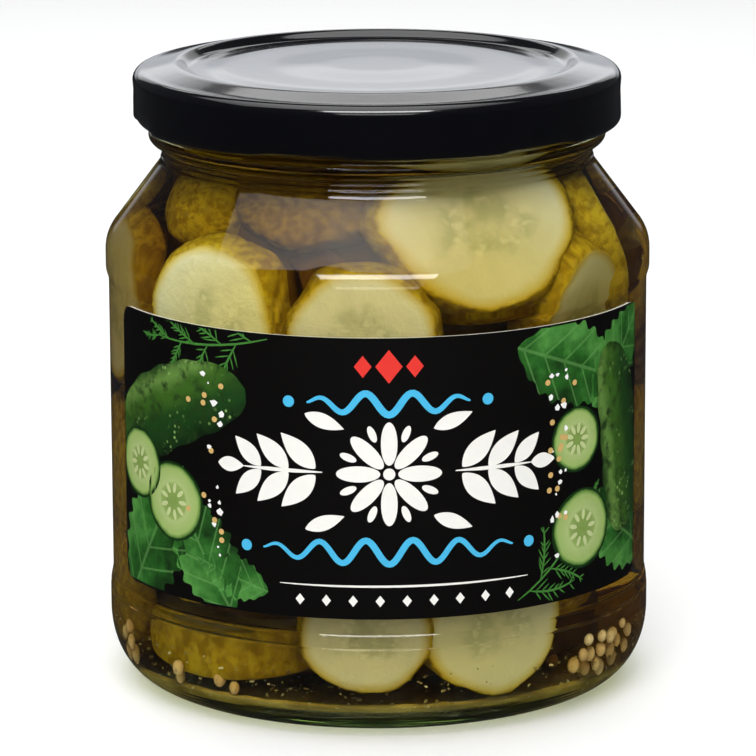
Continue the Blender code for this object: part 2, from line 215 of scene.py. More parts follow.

# Slices that show at the front. The first part is the lie: angle round the jar, height of the
# middle, distance from the axis, half width, half height, thickness, turn about the upright, lean
# back, roll, taper. The second is the look: how green the rind is, 1 where a skin end faces out or
# -1 where it faces in, and how much painted shade with a brine tint darkens the slice.
FRONT_SLICES = {
    "upper_left": ((-41.5, 70.6, 43.5, 12.6, 13.2, 7.5, 10, 3, -17, 0.0), (0.1, 0, 0.0)),
    "upper_middle": ((-3.5, 69.6, 43.5, 12.8, 11.8, 7.0, 0, 6, 0, 0.02), (0.15, 0, 0.28)),
    "upper_big": ((29.6, 85.4, 42.5, 18.2, 14.2, 6.0, -8, 25, -6, 0.12), (0.2, 0, 0.12)),
    "right_behind": ((55, 71.5, 40.0, 10.5, 11.0, 8.5, 6, -20, 0, 0.0), (0.2, 0, 0.25)),
    "right_low": ((44, 58.5, 42.5, 12.4, 10.5, 8.0, 0, -14, 0, 0.0), (0.3, 0, 0.1)),
    "right_edge_on": ((72, 79.0, 38.5, 12.0, 13.0, 9.0, 62, 12, 0, 0.0), (0.4, -1, 0.0)),
    "left_wall": ((-80, 69.0, 43.5, 12.0, 14.0, 6.5, 4, 4, 0, 0.0), (0.3, 0, 0.8)),
    "left_behind": ((-64, 86.0, 33.0, 10.5, 9.5, 7.0, -8, 28, 10, 0.0), (0.0, 1, 0.0)),
    "middle_behind": ((-24, 88.0, 31.0, 12.0, 8.5, 6.5, 6, 34, 0, 0.0), (0.05, 1, 0.7)),
    "low_left_flat": ((-49, 14.0, 32.0, 17.0, 14.0, 8.0, 0, 80, 6, 0.0), (0.45, 0, 0.0)),
    "low_left_upright": ((-49, 30.0, 43.5, 11.0, 10.0, 7.0, 0, 4, 0, 0.0), (0.2, 0, 0.2)),
    "low_middle": ((-3, 19.3, 43.5, 11.6, 11.6, 7.0, 0, -8, 0, 0.0), (0.35, 0, 0.3)),
    "low_right": ((27.5, 19.3, 43.0, 13.2, 12.6, 8.0, -4, -10, 0, 0.0), (0.15, 0, 0.0)),
    "low_far_right": ((60, 23.0, 37.0, 11.0, 9.0, 7.0, 14, -20, 0, 0.0), (0.3, 1, 0.5)),
}

# Seed clusters near the floor: angle, spread of the angle, lowest and highest middle, count.
SEED_CLUSTERS = (
    (-37, 4, 6.0, 8.0, 4),
    (-56, 4, 6.2, 8.5, 3),
    (-74, 5, 7.0, 12.5, 5),
    (5, 5, 5.8, 6.6, 3),
    (62, 11, 6.2, 13.5, 24),
    (115, 20, 5.8, 10.0, 8),
    (180, 40, 5.8, 9.0, 12),
    (-125, 25, 5.8, 10.0, 8),
)

# Softboxes, in metres: middle, aim, width and height, the setting that powers it and its share of
# that power, and whether gloss and glass mirror it.
MIDDLE = (0, 0, 0.07)
SOFTBOXES = {
    "top_box": ((-0.196, -0.064, 1.05), (-0.196, -0.064, 0), (1.7, 0.95), "top", 1.0, True),
    "front_strip": ((0, -0.66, 0.81), MIDDLE, (0.74, 0.22), "key", 1.0, True),
    "low_strip": ((0, -1.05, 0.44), MIDDLE, (0.66, 0.12), "key", 0.13, True),
    "front_box": ((0, -1.05, 0.72), MIDDLE, (0.8, 0.42), "key", 0.17, True),
    "front_fill": ((-0.3, -0.95, 1.15), MIDDLE, (0.9, 0.7), "fill", 1.0, False),
    "back_box": ((0.0, 1.1, 1.3), (0, 0.25, 0), (1.8, 0.8), "back", 1.0, False),
    "high_card": ((0, 1.0, 0.76), (0, 0, 0.11), (0.9, 0.2), "card", 1.6, True),
    "back_card": ((0, 0.9, 0.39), (0, 0, 0.39), (0.9, 0.28), "card", 1.0, True),
}
TOP_BOX_TURN = -15.0

# Edges at which a softbox fades: side, where the fade starts and ends, and the least that is left.
FADES = {
    "top_box": (("X", 0.0, 0.5, 0.5), ("X", 1.0, 0.7, 0.35)),
    "back_card": (("Y", -0.02, 0.1, 0.25),),
}

# The room: its colour, and where it turns bright behind and where the floor's side ends, by the
# direction's Y and Z.
ROOM_COLOUR = (0.9, 0.94, 1.0)
ROOM_BACK = (0.9, 0.965)
ROOM_HORIZON = (-0.02, 0.04)
FLOOR_SIZE = 6.0
FLOOR_DROP = 0.0002

# Camera, fitted to the ellipses of lid, shoulder, label and foot
CAMERA_DISTANCE = 836.8
CAMERA_ELEVATION = 12.917
CAMERA_ROLL = -0.22
CAMERA_TARGET_HEIGHT = 53.3
CAMERA_LENS = 223.55
CAMERA_SENSOR = 36.0


def colour_property(name, description, default):
    """A setting for a colour."""
    words = {"name": name, "description": description, "subtype": "COLOR"}
    return FloatVectorProperty(**words, size=3, min=0.0, max=1.0, default=default)


def number_property(name, description, default, **limits):
    """A setting for a number, with its limits and unit."""
    return FloatProperty(name=name, description=description, default=default, **limits)


def power_property(name, description, default):
    """A setting for the power of a lamp."""
    return number_property(name, description, default, unit="POWER")


class GlassSettings(PropertyGroup):
    """Colour and finish of the glass."""

    tint: colour_property("Tint", "Colour that thick glass leaves", (0.52, 0.67, 0.24))
    density: number_property("Tint density", "Strength of the tint per metre", 42.0, min=0.0)
    unevenness: number_property(
        "Unevenness",
        "How far the inner wall wanders from a true circle",
        WALL_UNEVENNESS * MM,
        min=0.0,
        max=0.4 * MM,
        unit="LENGTH",
    )


class BrineSettings(PropertyGroup):
    """Colour and level of the liquid."""

    tint: colour_property("Tint", "Colour that deep brine leaves", (0.8, 0.69, 0.15))
    density: number_property("Tint density", "Strength of the tint per metre", 100.0, min=0.0)
    level: number_property(
        "Level",
        "Height of the brine's surface above the foot",
        100.6 * MM,
        min=60 * MM,
        max=105 * MM,
        unit="LENGTH",
    )


class SliceSettings(PropertyGroup):
    """Colours of the cucumber slices and how many lie deep in the jar."""

    flesh: colour_property("Flesh", "Firm pale flesh", (0.64, 0.6, 0.4))
    cavity: colour_property("Seed cavity", "Glassy flesh round the seeds", (0.4, 0.4, 0.24))
    rind: colour_property("Rind", "Golden side of the rind", (0.25, 0.15, 0.006))
    green_rind: colour_property("Green rind", "Olive side of the rind", (0.13, 0.125, 0.007))
    deep_count: IntProperty(
        name="Deep slices", description="Slices behind those at the glass", default=90, min=0
    )


class SeedSettings(PropertyGroup):
    """Colour of the mustard seeds and the number of small bits."""

    shell: colour_property("Shell", "Colour of a mustard seed", (0.8, 0.52, 0.25))
    bit_count: IntProperty(
        name="Small bits", description="Flecks of seed and skin near the floor", default=650, min=0
    )


class LidSettings(PropertyGroup):
    """Lacquer of the lid."""

    lacquer: colour_property("Lacquer", "Colour of the lacquer", (0.0012, 0.0012, 0.002))
    roughness: number_property("Roughness", "Roughness of the lacquer", 0.13, min=0.0, max=1.0)


class LabelSettings(PropertyGroup):
    """Inks of the label."""

    ground: colour_property("Ground", "Dark ground of the label", (0.003, 0.0024, 0.0022))
    white: colour_property("White ink", "Ink of the large ornaments", (0.86, 0.85, 0.8))
    blue: colour_property("Blue ink", "Ink of the flourishes", (0.055, 0.46, 0.75))
    red: colour_property("Red ink", "Ink of the small diamonds", (0.75, 0.03, 0.02))
    leaf: colour_property("Green ink", "Middle green of the plants", (0.014, 0.125, 0.008))


class StageSettings(PropertyGroup):
    """Floor and light."""

    floor: colour_property("Floor", "Colour of the floor", (0.96, 0.96, 0.96))
    key: power_property("Key light", "Power of the bright front strip", 5.6)
    fill: power_property("Fill light", "Power of the front fill light", 3.0)
    top: power_property("Top light", "Power of the wide light above", 10.0)
    back: power_property("Back light", "Power of the light behind", 12.0)
    card: power_property("Back card", "Power of the card that the lid mirrors", 0.5)
    room: number_property("Room light", "Brightness of the room", 0.75, min=0.0)


class JarSettings(PropertyGroup):
    """All the settings of the jar."""

    glass: PointerProperty(type=GlassSettings)
    brine: PointerProperty(type=BrineSettings)
    slices: PointerProperty(type=SliceSettings)
    seeds: PointerProperty(type=SeedSettings)
    lid: PointerProperty(type=LidSettings)
    label: PointerProperty(type=LabelSettings)
    stage: PointerProperty(type=StageSettings)


# Outlines


def arc(centre, radius, start, end, steps):
    """Points on a round stretch of an outline, from one angle in degrees to another."""
    angles = [math.radians(start + (end - start) * i / steps) for i in range(steps + 1)]
    return [(centre[0] + radius * math.cos(a), centre[1] + radius * math.sin(a)) for a in angles]


def heel(foot_radius, foot_height, side_radius, side_height, steps):
    """A quarter ellipse from a lower, inner point out and up to a side."""
    angles = [math.radians(90 * i / steps) for i in range(steps + 1)]
    width, height = side_radius - foot_radius, side_height - foot_height
    return [(foot_radius + width * math.sin(a), side_height - height * math.cos(a)) for a in angles]


def straight(start, end, steps):
    """Evenly spread points from just after start up to end."""
    shares = [(i + 1) / steps for i in range(steps)]
    return [tuple(a + (b - a) * t for a, b in zip(start, end)) for t in shares]


def eased(start, end, steps):
    """As straight, but the radius swings over smoothly, as a roll meets a panel."""
    points = []
    for i in range(steps):
        t = (i + 1) / steps
        share = t * t * (3 - 2 * t)
        points.append((start[0] + (end[0] - start[0]) * share, start[1] + (end[1] - start[1]) * t))
    return points


def eased_height(start, end, steps):
    """As straight, but the height swings over smoothly, as a pressed step does."""
    turned_round = eased(start[::-1], end[::-1], steps)
    return [point[::-1] for point in turned_round]


def legs(start, *parts):
    """Points just after a start, over parts that each say the way, the end and the steps."""
    points = [start]
    for way, end, steps in parts:
        points += way(points[-1], end, steps)
    return points[1:]


def outer_wall():
    """The glass's outside, from the middle of its foot up to the rim."""
    middle = (0, PUSH_UP_HEIGHT)
    wall = [middle] + legs(
        middle,
        (straight, (FOOT_INNER_RADIUS * 0.8, PUSH_UP_HEIGHT * 0.8), 6),
        (eased, (FOOT_INNER_RADIUS, 0.05), 5),
        (straight, (FOOT_OUTER_RADIUS, 0.0), 2),
        (straight, (HEEL_START_RADIUS - 0.6, HEEL_START * 0.8), 3),
    )
    wall += heel(HEEL_START_RADIUS, HEEL_START, BODY_RADIUS, HEEL_TOP, HEEL_STEPS)
    wall += legs(
        wall[-1],
        (straight, (BODY_RADIUS, LOWER_ROLL_TOP), 3),
        (eased, (PANEL_RADIUS, PANEL_BOTTOM), round((PANEL_BOTTOM - LOWER_ROLL_TOP) / RIDGE_STEP)),
        (straight, (PANEL_RADIUS, PANEL_TOP), 8),
        (eased, (BODY_RADIUS, UPPER_ROLL_BOTTOM), 5),
    )
    bend_centre = (BODY_RADIUS - SHOULDER_BEND_RADIUS, SHOULDER_START)
    wall += arc(bend_centre, SHOULDER_BEND_RADIUS, 0, SHOULDER_SLOPE, 10)
    fillet_centre = (NECK_RADIUS + NECK_FILLET_RADIUS, NECK_HEIGHT)
    fillet = arc(fillet_centre, NECK_FILLET_RADIUS, 180 + SHOULDER_SLOPE, 180, 25)
    wall += straight(wall[-1], fillet[0], 5)[:-1] + fillet
    neck_steps = round((BEAD_BOTTOM - NECK_HEIGHT) / RIDGE_STEP)
    wall += straight(wall[-1], (NECK_RADIUS, BEAD_BOTTOM), neck_steps)
    wall += heel(NECK_RADIUS, BEAD_BOTTOM, BEAD_RADIUS, BEAD_TOP - BEAD_ROUNDING, 8)[1:]
    wall += arc((BEAD_RADIUS - BEAD_ROUNDING, BEAD_TOP - BEAD_ROUNDING), BEAD_ROUNDING, 10, 90, 8)
    wall += eased(wall[-1], (FINISH_RADIUS, BEAD_TOP + 1.2), 4)
    return [ridged(p) for p in wall] + [(FINISH_RADIUS, RIM_HEIGHT - RIM_ROUNDING)]


def ridged(point):
    """Shifts a point of the outside where a fine ring or groove runs round the jar."""
    radius, height = point
    rings = [(ring, RIDGE_SIZE) for ring in RIDGE_HEIGHTS]
    rings += [(ring, -RIDGE_SIZE) for ring in GROOVE_HEIGHTS]
    lift = sum(size * math.exp(-(((height - ring) / RIDGE_WIDTH) ** 2)) for ring, size in rings)
    return radius + lift, height


def inner_wall(steps=1):
    """The glass's inside, from the mouth down to the middle of its floor."""
    inner_radius = PANEL_RADIUS - WALL
    shoulder_centre = (inner_radius - SHOULDER_BEND_RADIUS, SHOULDER_START - 1)
    neck = (INNER_NECK_RADIUS, NECK_HEIGHT - 1.2)
    shoulder = arc(shoulder_centre, SHOULDER_BEND_RADIUS, SHOULDER_SLOPE, 0, 3 * steps)
    heel_top = FLOOR_HEIGHT + INNER_HEEL_HEIGHT
    floor = heel(FLOOR_RADIUS, FLOOR_HEIGHT, inner_radius, heel_top, 5 * steps)[::-1]
    wall = [(MOUTH_RADIUS, RIM_HEIGHT - 0.6)]
    wall += eased(wall[-1], (INNER_NECK_RADIUS, BEAD_TOP), 2 * steps)
    wall += eased(wall[-1], neck, steps)
    wall += straight(neck, shoulder[0], 2 * steps)[:-1] + shoulder
    wall += straight(wall[-1], floor[0], 4 * steps)[:-1] + floor
    return wall + straight(wall[-1], (0, FLOOR_HEIGHT + PUSH_UP_HEIGHT * 0.8), 4 * steps)


def rim():
    """The rounded top of the finish."""
    centre = (FINISH_RADIUS - RIM_ROUNDING, RIM_HEIGHT - RIM_ROUNDING)
    return arc(centre, RIM_ROUNDING, 10, 90, 5)


INSIDE = sorted(((z, r) for r, z in inner_wall(4) if r > 1), key=lambda p: p[0])
INSIDE_HEIGHTS = [z for z, _ in INSIDE]
INSIDE_RADII = [r for _, r in INSIDE]


def cavity_radius(height):
    """The jar's inner radius at a height."""
    return float(np.interp(height, INSIDE_HEIGHTS, INSIDE_RADII))


def on_cylinder(angle, radius, height):
    """A point round the jar at an angle in degrees."""
    turn = math.radians(angle)
    return Vector((radius * math.sin(turn), -radius * math.cos(turn), height))


# Meshes


def bridge(rings, forwards=True):
    """Faces between rings of points. A ring of one point is a tip."""
    faces = []
    for low, high in zip(rings, rings[1:]):
        count = max(len(low), len(high))
        for i in range(count):
            a, b = (i, (i + 1) % count) if forwards else ((i + 1) % count, i)
            if len(low) == 1:
                faces.append((low[0], high[b], high[a]))
            elif len(high) == 1:
                faces.append((low[a], low[b], high[0]))
            else:
                faces.append((low[a], low[b], high[b], high[a]))
    return faces


def lumps_round(angles, radius, height, scale=1.0):
    """Slow lumps round one ring, from about -1 to 1."""
    points = [Vector((math.sin(a) * radius, math.cos(a) * radius, height)) for a in angles]
    return np.array([noise.noise(p * scale) for p in points])


def ball(subdivisions):
    """Points and faces of a ball of radius 1."""
    mesh = bmesh.new()
    bmesh.ops.create_icosphere(mesh, subdivisions=subdivisions, radius=1.0)
    mesh.verts.index_update()
    points = [v.co.copy() for v in mesh.verts]
    faces = [[v.index for v in face.verts] for face in mesh.faces]
    mesh.free()
    return points, faces


def turned_mesh(outline, segments, shift=None):
    """Vertices and faces of an outline spun round Z. Ends on the axis become single points.

    shift(angles, index, radius, height) gives the radii and heights round one ring.
    """
    angles = np.linspace(0, math.tau, segments, endpoint=False)
    verts, rings = [], []
    for index, (radius, height) in enumerate(outline):
        if radius < 1e-6:
            rings.append([len(verts)])
            verts.append((0.0, 0.0, height))
            continue
        radii, heights = np.full(segments, radius), np.full(segments, height)
        if shift:
            radii, heights = shift(angles, index, radii, heights)
        rings.append(range(len(verts), len(verts) + segments))
        verts += list(zip(radii * np.sin(angles), -radii * np.cos(angles), heights))
    return verts, bridge(rings)


def add_piece(name, verts, faces, material, replaces=(), attributes=None):
    """Makes a smooth mesh piece of points in millimetres, which rides on the jar."""
    mesh = bpy.data.meshes.new(name)
    mesh.from_pydata([tuple(c * MM for c in v) for v in verts], [], [tuple(f) for f in faces])
    for key, (kind, values) in (attributes or {}).items():
        layer = mesh.attributes.new(key, kind, "POINT")
        field = "vector" if kind == "FLOAT_VECTOR" else "value"
        layer.data.foreach_set(field, np.asarray(values, np.float32).ravel())
    mesh.validate()
    tidy = bmesh.new()
    tidy.from_mesh(mesh)
    bmesh.ops.recalc_face_normals(tidy, faces=tidy.faces)
    tidy.to_mesh(mesh)
    tidy.free()
    mesh.shade_smooth()
    mesh.set_sharp_from_angle(angle=math.radians(SMOOTH_ANGLE))
    piece = bpy.data.objects.new(name, mesh)
    bpy.context.scene.collection.objects.link(piece)
    for each in material if isinstance(material, list) else [material]:
        mesh.materials.append(each)
    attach(piece, BODY)
    if replaces:
        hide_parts(*replaces)
    return piece


class Heap:
    """Many small closed shapes gathered into one mesh, with values for their material."""

    def __init__(self):
        self.verts, self.faces, self.values = [], [], {}

    def add(self, verts, faces, **values):
        """Adds one shape, with values for each of its points."""
        start = len(self.verts)
        self.verts += [tuple(v) for v in verts]
        self.faces += [tuple(start + i for i in face) for face in faces]
        for key, value in values.items():
            self.values.setdefault(key, []).extend(value)

    def piece(self, name, material, slot, replaces=()):
        """Makes the heap a piece of its own."""
        kinds = {
            key: ("FLOAT_VECTOR" if np.ndim(values[0]) else "FLOAT", values)
            for key, values in self.values.items()
        }
        return add_piece(name, self.verts, self.faces, material, replaces, kinds)


# Materials


def add_node(tree, kind, inputs=None, **settings):
    """Adds a node, with its settings and with values or links on its inputs."""
    made = tree.nodes.new(kind)
    for key, value in settings.items():
        setattr(made, key, value)
    for key, value in (inputs or {}).items():
        if isinstance(value, bpy.types.NodeSocket):
            tree.links.new(value, made.inputs[key])
        else:
            made.inputs[key].default_value = value
    return made


def new_material(name):
    """A material with its node tree and its shader."""
    made = bpy.data.materials.new(name)
    made.use_nodes = True
    return made, made.node_tree, made.node_tree.nodes["Principled BSDF"]


def paint(tree, shader, colour, roughness, specular=0.5):
    """Gives a shader its colour, its roughness and its shine."""
    tree.links.new(colour, shader.inputs["Base Color"])
    shader.inputs["Roughness"].default_value = roughness
    shader.inputs["Specular IOR Level"].default_value = specular


def ramp(tree, factor, stops, smooth=False):
    """A colour ramp of (place, colour) stops."""
    made = add_node(tree, "ShaderNodeValToRGB", {"Fac": factor})
    made.color_ramp.interpolation = "EASE" if smooth else "LINEAR"
    elements = made.color_ramp.elements
    while len(elements) < len(stops):
        elements.new(0.5)
    for element, (place, colour) in zip(elements, stops):
        element.position = place
        element.color = (*colour, 1.0) if np.ndim(colour) else (colour, colour, colour, 1.0)
    return made.outputs["Color"]


def math_node(tree, operation, *values):
    """The result of a sum on values or links."""
    return add_node(tree, "ShaderNodeMath", dict(enumerate(values)), operation=operation).outputs[0]


def vector_node(tree, operation, *values):
    """The result of a sum on vectors, which for LENGTH is a number."""
    made = add_node(tree, "ShaderNodeVectorMath", dict(enumerate(values)), operation=operation)
    return made.outputs["Value" if operation == "LENGTH" else "Vector"]


def parts_of(tree, vector):
    """The X, Y and Z of a vector."""
    return add_node(tree, "ShaderNodeSeparateXYZ", {0: vector}).outputs


def cells(tree, vector, scale):
    """The distance to the nearest of many scattered points."""
    made = add_node(tree, "ShaderNodeTexVoronoi", {"Vector": vector, "Scale": scale})
    return made.outputs["Distance"]


def smooth_step(tree, value, low, high):
    """Runs from 0 to 1 as value goes from low to high."""
    made = add_node(
        tree,
        "ShaderNodeMapRange",
        {"Value": value, "From Min": low, "From Max": high},
        interpolation_type="SMOOTHSTEP",
    )
    return made.outputs["Result"]


def mix(tree, factor, a, b):
    """Mixes two colours."""
    made = add_node(tree, "ShaderNodeMix", data_type="RGBA")
    sockets = (made.inputs["Factor"], made.inputs[6], made.inputs[7])
    for socket, value in zip(sockets, (factor, a, b)):
        if isinstance(value, bpy.types.NodeSocket):
            tree.links.new(value, socket)
        else:
            socket.default_value = (*value, 1.0) if np.ndim(value) else value
    return made.outputs[2]


def cloud_node(tree, vector, scale, detail=3.0, roughness=0.55, output="Fac"):
    """A soft noise, whose scale is in waves per metre."""
    inputs = {"Vector": vector, "Scale": scale, "Detail": detail, "Roughness": roughness}
    return add_node(tree, "ShaderNodeTexNoise", inputs).outputs[output]


def attribute(tree, name, output="Fac"):
    """A value or vector that the mesh carries."""
    made = add_node(tree, "ShaderNodeAttribute", attribute_type="GEOMETRY", attribute_name=name)
    return made.outputs[output]


def object_place(tree):
    """Where a point lies on the object."""
    return add_node(tree, "ShaderNodeTexCoord").outputs["Object"]


def bump(tree, shader, height, strength, distance):
    """Gives a shader a fine relief."""
    inputs = {"Height": height, "Strength": strength, "Distance": distance}
    relief = add_node(tree, "ShaderNodeBump", inputs)
    tree.links.new(relief.outputs["Normal"], shader.inputs["Normal"])


def let_lamps_through(tree, shader):
    """Makes a clear shader open to the rays that look for lamps, as thin glass nearly is."""
    path = add_node(tree, "ShaderNodeLightPath")
    clear = add_node(tree, "ShaderNodeBsdfTransparent")
    both = add_node(
        tree,
        "ShaderNodeMixShader",
        {0: path.outputs["Is Shadow Ray"], 1: shader.outputs["BSDF"], 2: clear.outputs["BSDF"]},
    )
    tree.links.new(both.outputs[0], tree.nodes["Material Output"].inputs["Surface"])


def clear_material(name, ior, wet_ior, tint, density, ripple):
    """Glass or liquid: refraction, a tint that grows with depth, and a faint ripple.

    ior holds against air, and wet_ior where glass and liquid meet.
    """
    made, tree, shader = new_material(name)
    shader.inputs["Base Color"].default_value = (1, 1, 1, 1)
    shader.inputs["Transmission Weight"].default_value = 1.0
    shader.inputs["Roughness"].default_value = 0.0
    shader.inputs["IOR"].default_value = ior
    wet = math_node(tree, "GREATER_THAN", attribute(tree, "wet"), 0.5)
    tree.links.new(math_node(tree, "MULTIPLY_ADD", wet, wet_ior - ior, ior), shader.inputs["IOR"])
    bump(tree, shader, cloud_node(tree, object_place(tree), 55.0, 1.5), ripple, 0.0006)
    depth = add_node(tree, "ShaderNodeVolumeAbsorption")
    depth.inputs["Color"].default_value = (*tint, 1.0)
    depth.inputs["Density"].default_value = density
    tree.links.new(depth.outputs["Volume"], tree.nodes["Material Output"].inputs["Volume"])
    let_lamps_through(tree, shader)
    return made


def slice_material(looks):
    """Cut cucumber: firm flesh, three glassy lobes with seeds, and a golden olive rind, with
    painted shade where a slice lies deep.
    """
    made, tree, shader = new_material("cut_cucumber")
    spot, tone = attribute(tree, "spot", "Vector"), attribute(tree, "tone")
    rind, place = attribute(tree, "rind"), object_place(tree)
    flat = vector_node(tree, "MULTIPLY", spot, (1.0, 1.0, 0.0))
    own = math_node(tree, "MULTIPLY", tone, 9.0)
    band = vector_node(tree, "MULTIPLY_ADD", spot, (1.0, 1.0, 0.2), own)
    wander = cloud_node(tree, place, 260.0, 3.0, output="Color")
    pushed = vector_node(tree, "SUBTRACT", wander, (0.5, 0.5, 0.5))
    pushed = vector_node(tree, "MULTIPLY_ADD", pushed, (0.34, 0.34, 0.0), flat)
    reach, edge = vector_node(tree, "LENGTH", pushed), vector_node(tree, "LENGTH", flat)
    parts = parts_of(tree, pushed)
    angle = math_node(tree, "ARCTAN2", parts["Y"], parts["X"])
    turn = math_node(tree, "MULTIPLY_ADD", tone, 6.28, math_node(tree, "MULTIPLY", angle, 3.0))
    lobe = math_node(tree, "MULTIPLY_ADD", math_node(tree, "COSINE", turn), 0.5, 0.5)
    limit = math_node(tree, "MULTIPLY_ADD", lobe, 0.16, 0.42)
    inside = smooth_step(tree, math_node(tree, "SUBTRACT", limit, reach), -0.1, 0.14)
    cloud = cloud_node(tree, place, 210.0, 4.0, 0.5)
    glassy = math_node(tree, "MULTIPLY", inside, smooth_step(tree, cloud, 0.38, 0.6))
    seed = smooth_step(tree, cells(tree, pushed, 7.0), 0.45, 0.2)
    ring = smooth_step(tree, reach, 0.12, 0.26)
    seed = math_node(tree, "MULTIPLY", math_node(tree, "MULTIPLY", seed, inside), ring)
    soft = cloud_node(tree, place, 150.0, 4.0)
    flesh = Vector(looks.flesh)
    light = mix(tree, soft, tuple(flesh * 0.84), tuple(flesh * 1.08))
    face = mix(tree, math_node(tree, "MULTIPLY", glassy, 0.7), light, tuple(looks.cavity))
    face = mix(tree, math_node(tree, "MULTIPLY", seed, 0.35), face, PALE_SEED)
    uneven = math_node(tree, "MULTIPLY_ADD", soft, 0.12, edge)
    face = mix(tree, smooth_step(tree, uneven, 0.86, 1.04), face, NEAR_RIND)
    blotch = cloud_node(tree, band, 7.0, 5.0, 0.6)
    golden = mix(tree, smooth_step(tree, blotch, 0.36, 0.66), tuple(looks.rind), LIGHT_RIND)
    side = math_node(tree, "MULTIPLY_ADD", blotch, 0.9, math_node(tree, "SUBTRACT", tone, 0.5))
    skin = mix(tree, smooth_step(tree, side, 0.5, 0.8), golden, tuple(looks.green_rind))
    wart = smooth_step(tree, cells(tree, place, 420.0), 0.5, 0.1)
    skin = mix(tree, math_node(tree, "MULTIPLY", wart, 0.3), skin, WART)
    colour = mix(tree, rind, face, skin)
    # Painted shade with a brine tint: the slice's depth value multiplies its colour down towards
    # this tint.
    dim = mix(tree, attribute(tree, "depth"), (1, 1, 1), MURK)
    shade = add_node(tree, "ShaderNodeMix", data_type="RGBA", blend_type="MULTIPLY")
    shade.inputs["Factor"].default_value = 1.0
    tree.links.new(colour, shade.inputs[6])
    tree.links.new(dim, shade.inputs[7])
    paint(tree, shader, shade.outputs[2], 0.5, 0.0)
    relief = math_node(tree, "MULTIPLY_ADD", glassy, -0.6, cloud_node(tree, place, 1100.0, 3.0))
    knobbly = math_node(tree, "MULTIPLY", math_node(tree, "ADD", wart, blotch), rind)
    relief = math_node(tree, "MULTIPLY_ADD", knobbly, 2.0, relief)
    bump(tree, shader, relief, 0.4, 0.0004)
    return made


def core_material():
    """Painted shade: the dark brown gold that stands for the deepest slices lying in shadow,
    uneven.
    """
    made, tree, shader = new_material("painted_shade_core")
    cloud = cloud_node(tree, object_place(tree), 90.0, 5.0)
    stops = [(0.3, (0.07, 0.034, 0.002)), (0.55, (0.15, 0.08, 0.004)), (0.8, (0.3, 0.19, 0.015))]
    paint(tree, shader, ramp(tree, cloud, stops), 0.6, 0.0)
    return made


def seed_material(looks):
    """Mustard seed: matt, from tan to pale, with darker specks."""
    made, tree, shader = new_material("mustard_shell")
    shell = Vector(looks.shell)
    stops = [(0.0, tuple(shell * 0.7)), (0.55, tuple(shell)), (1.0, (0.78, 0.58, 0.32))]
    colour = ramp(tree, attribute(tree, "tone"), stops)
    speck = cloud_node(tree, object_place(tree), 1500.0, 4.0)
    colour = mix(tree, smooth_step(tree, speck, 0.56, 0.72), colour, tuple(shell * 0.5))
    paint(tree, shader, colour, 0.5, 0.0)
    bump(tree, shader, speck, 0.2, 0.0002)
    return made


def bit_material():
    """Flecks of seed and skin, from brown to pale."""
    made, tree, shader = new_material("pale_flecks")
    stops = [(0.0, (0.2, 0.15, 0.03)), (0.7, (0.4, 0.31, 0.1)), (1.0, (0.7, 0.62, 0.38))]
    paint(tree, shader, ramp(tree, attribute(tree, "tone"), stops), 0.5)
    return made


def pulp_material():
    """Fine pulp and spice dust: olive brown with paler grains."""
    made, tree, shader = new_material("settled_pulp")
    place = object_place(tree)
    cloud = cloud_node(tree, place, 120.0, 5.0)
    colour = ramp(tree, cloud, [(0.3, (0.2, 0.13, 0.02)), (0.7, (0.6, 0.44, 0.1))])
    grain = cloud_node(tree, place, 1300.0, 3.0)
    colour = mix(tree, smooth_step(tree, grain, 0.62, 0.72), colour, (0.75, 0.66, 0.36))
    paint(tree, shader, colour, 0.7, 0.0)
    return made


def lacquer_material(looks):
    """Black stoving lacquer on steel, with the faint orange peel of a sprayed coat."""
    made, tree, shader = new_material("black_lacquer")
    place, base = object_place(tree), Vector(looks.lacquer)
    shade = cloud_node(tree, place, 35.0, 3.0)
    paint(tree, shader, mix(tree, shade, tuple(base), tuple(base * 1.8)), looks.roughness)
    rough = cloud_node(tree, place, 220.0, 4.0)
    rough = math_node(tree, "MULTIPLY_ADD", rough, 0.05, looks.roughness - 0.025)
    tree.links.new(rough, shader.inputs["Roughness"])
    shader.inputs["IOR"].default_value = LACQUER_IOR
    shader.inputs["Coat Weight"].default_value = 0.6
    shader.inputs["Coat Roughness"].default_value = 0.06
    bump(tree, shader, cloud_node(tree, place, 420.0, 2.0), 0.05, 0.0004)
    return made


def paper_fibre(tree, shader, strength):
    """The fine tooth of coated paper and its slight waves on the glass."""
    place = object_place(tree)
    tooth, wave = cloud_node(tree, place, 2600.0, 4.0), cloud_node(tree, place, 60.0, 2.0)
    height = math_node(tree, "MULTIPLY_ADD", wave, 2.5, tooth)
    bump(tree, shader, height, strength, 0.0002)


def ink_material(name, colour, roughness=0.42):
    """A flat ink on the label, a little uneven where the press laid it."""
    made, tree, shader = new_material(name)
    lay, base = cloud_node(tree, object_place(tree), 500.0, 4.0), Vector(colour)
    paint(tree, shader, mix(tree, lay, tuple(base * 0.94), tuple(base)), roughness, 0.3)
    paper_fibre(tree, shader, 0.12)
    return made


def plain_paper_material():
    """The label's white back and cut edge."""
    made, tree, shader = new_material("label_back_paper")
    fibre = cloud_node(tree, object_place(tree), 900.0, 6.0)
    paint(tree, shader, mix(tree, fibre, (0.6, 0.57, 0.5), (0.8, 0.78, 0.72)), 0.75)
    paper_fibre(tree, shader, 0.2)
    return made


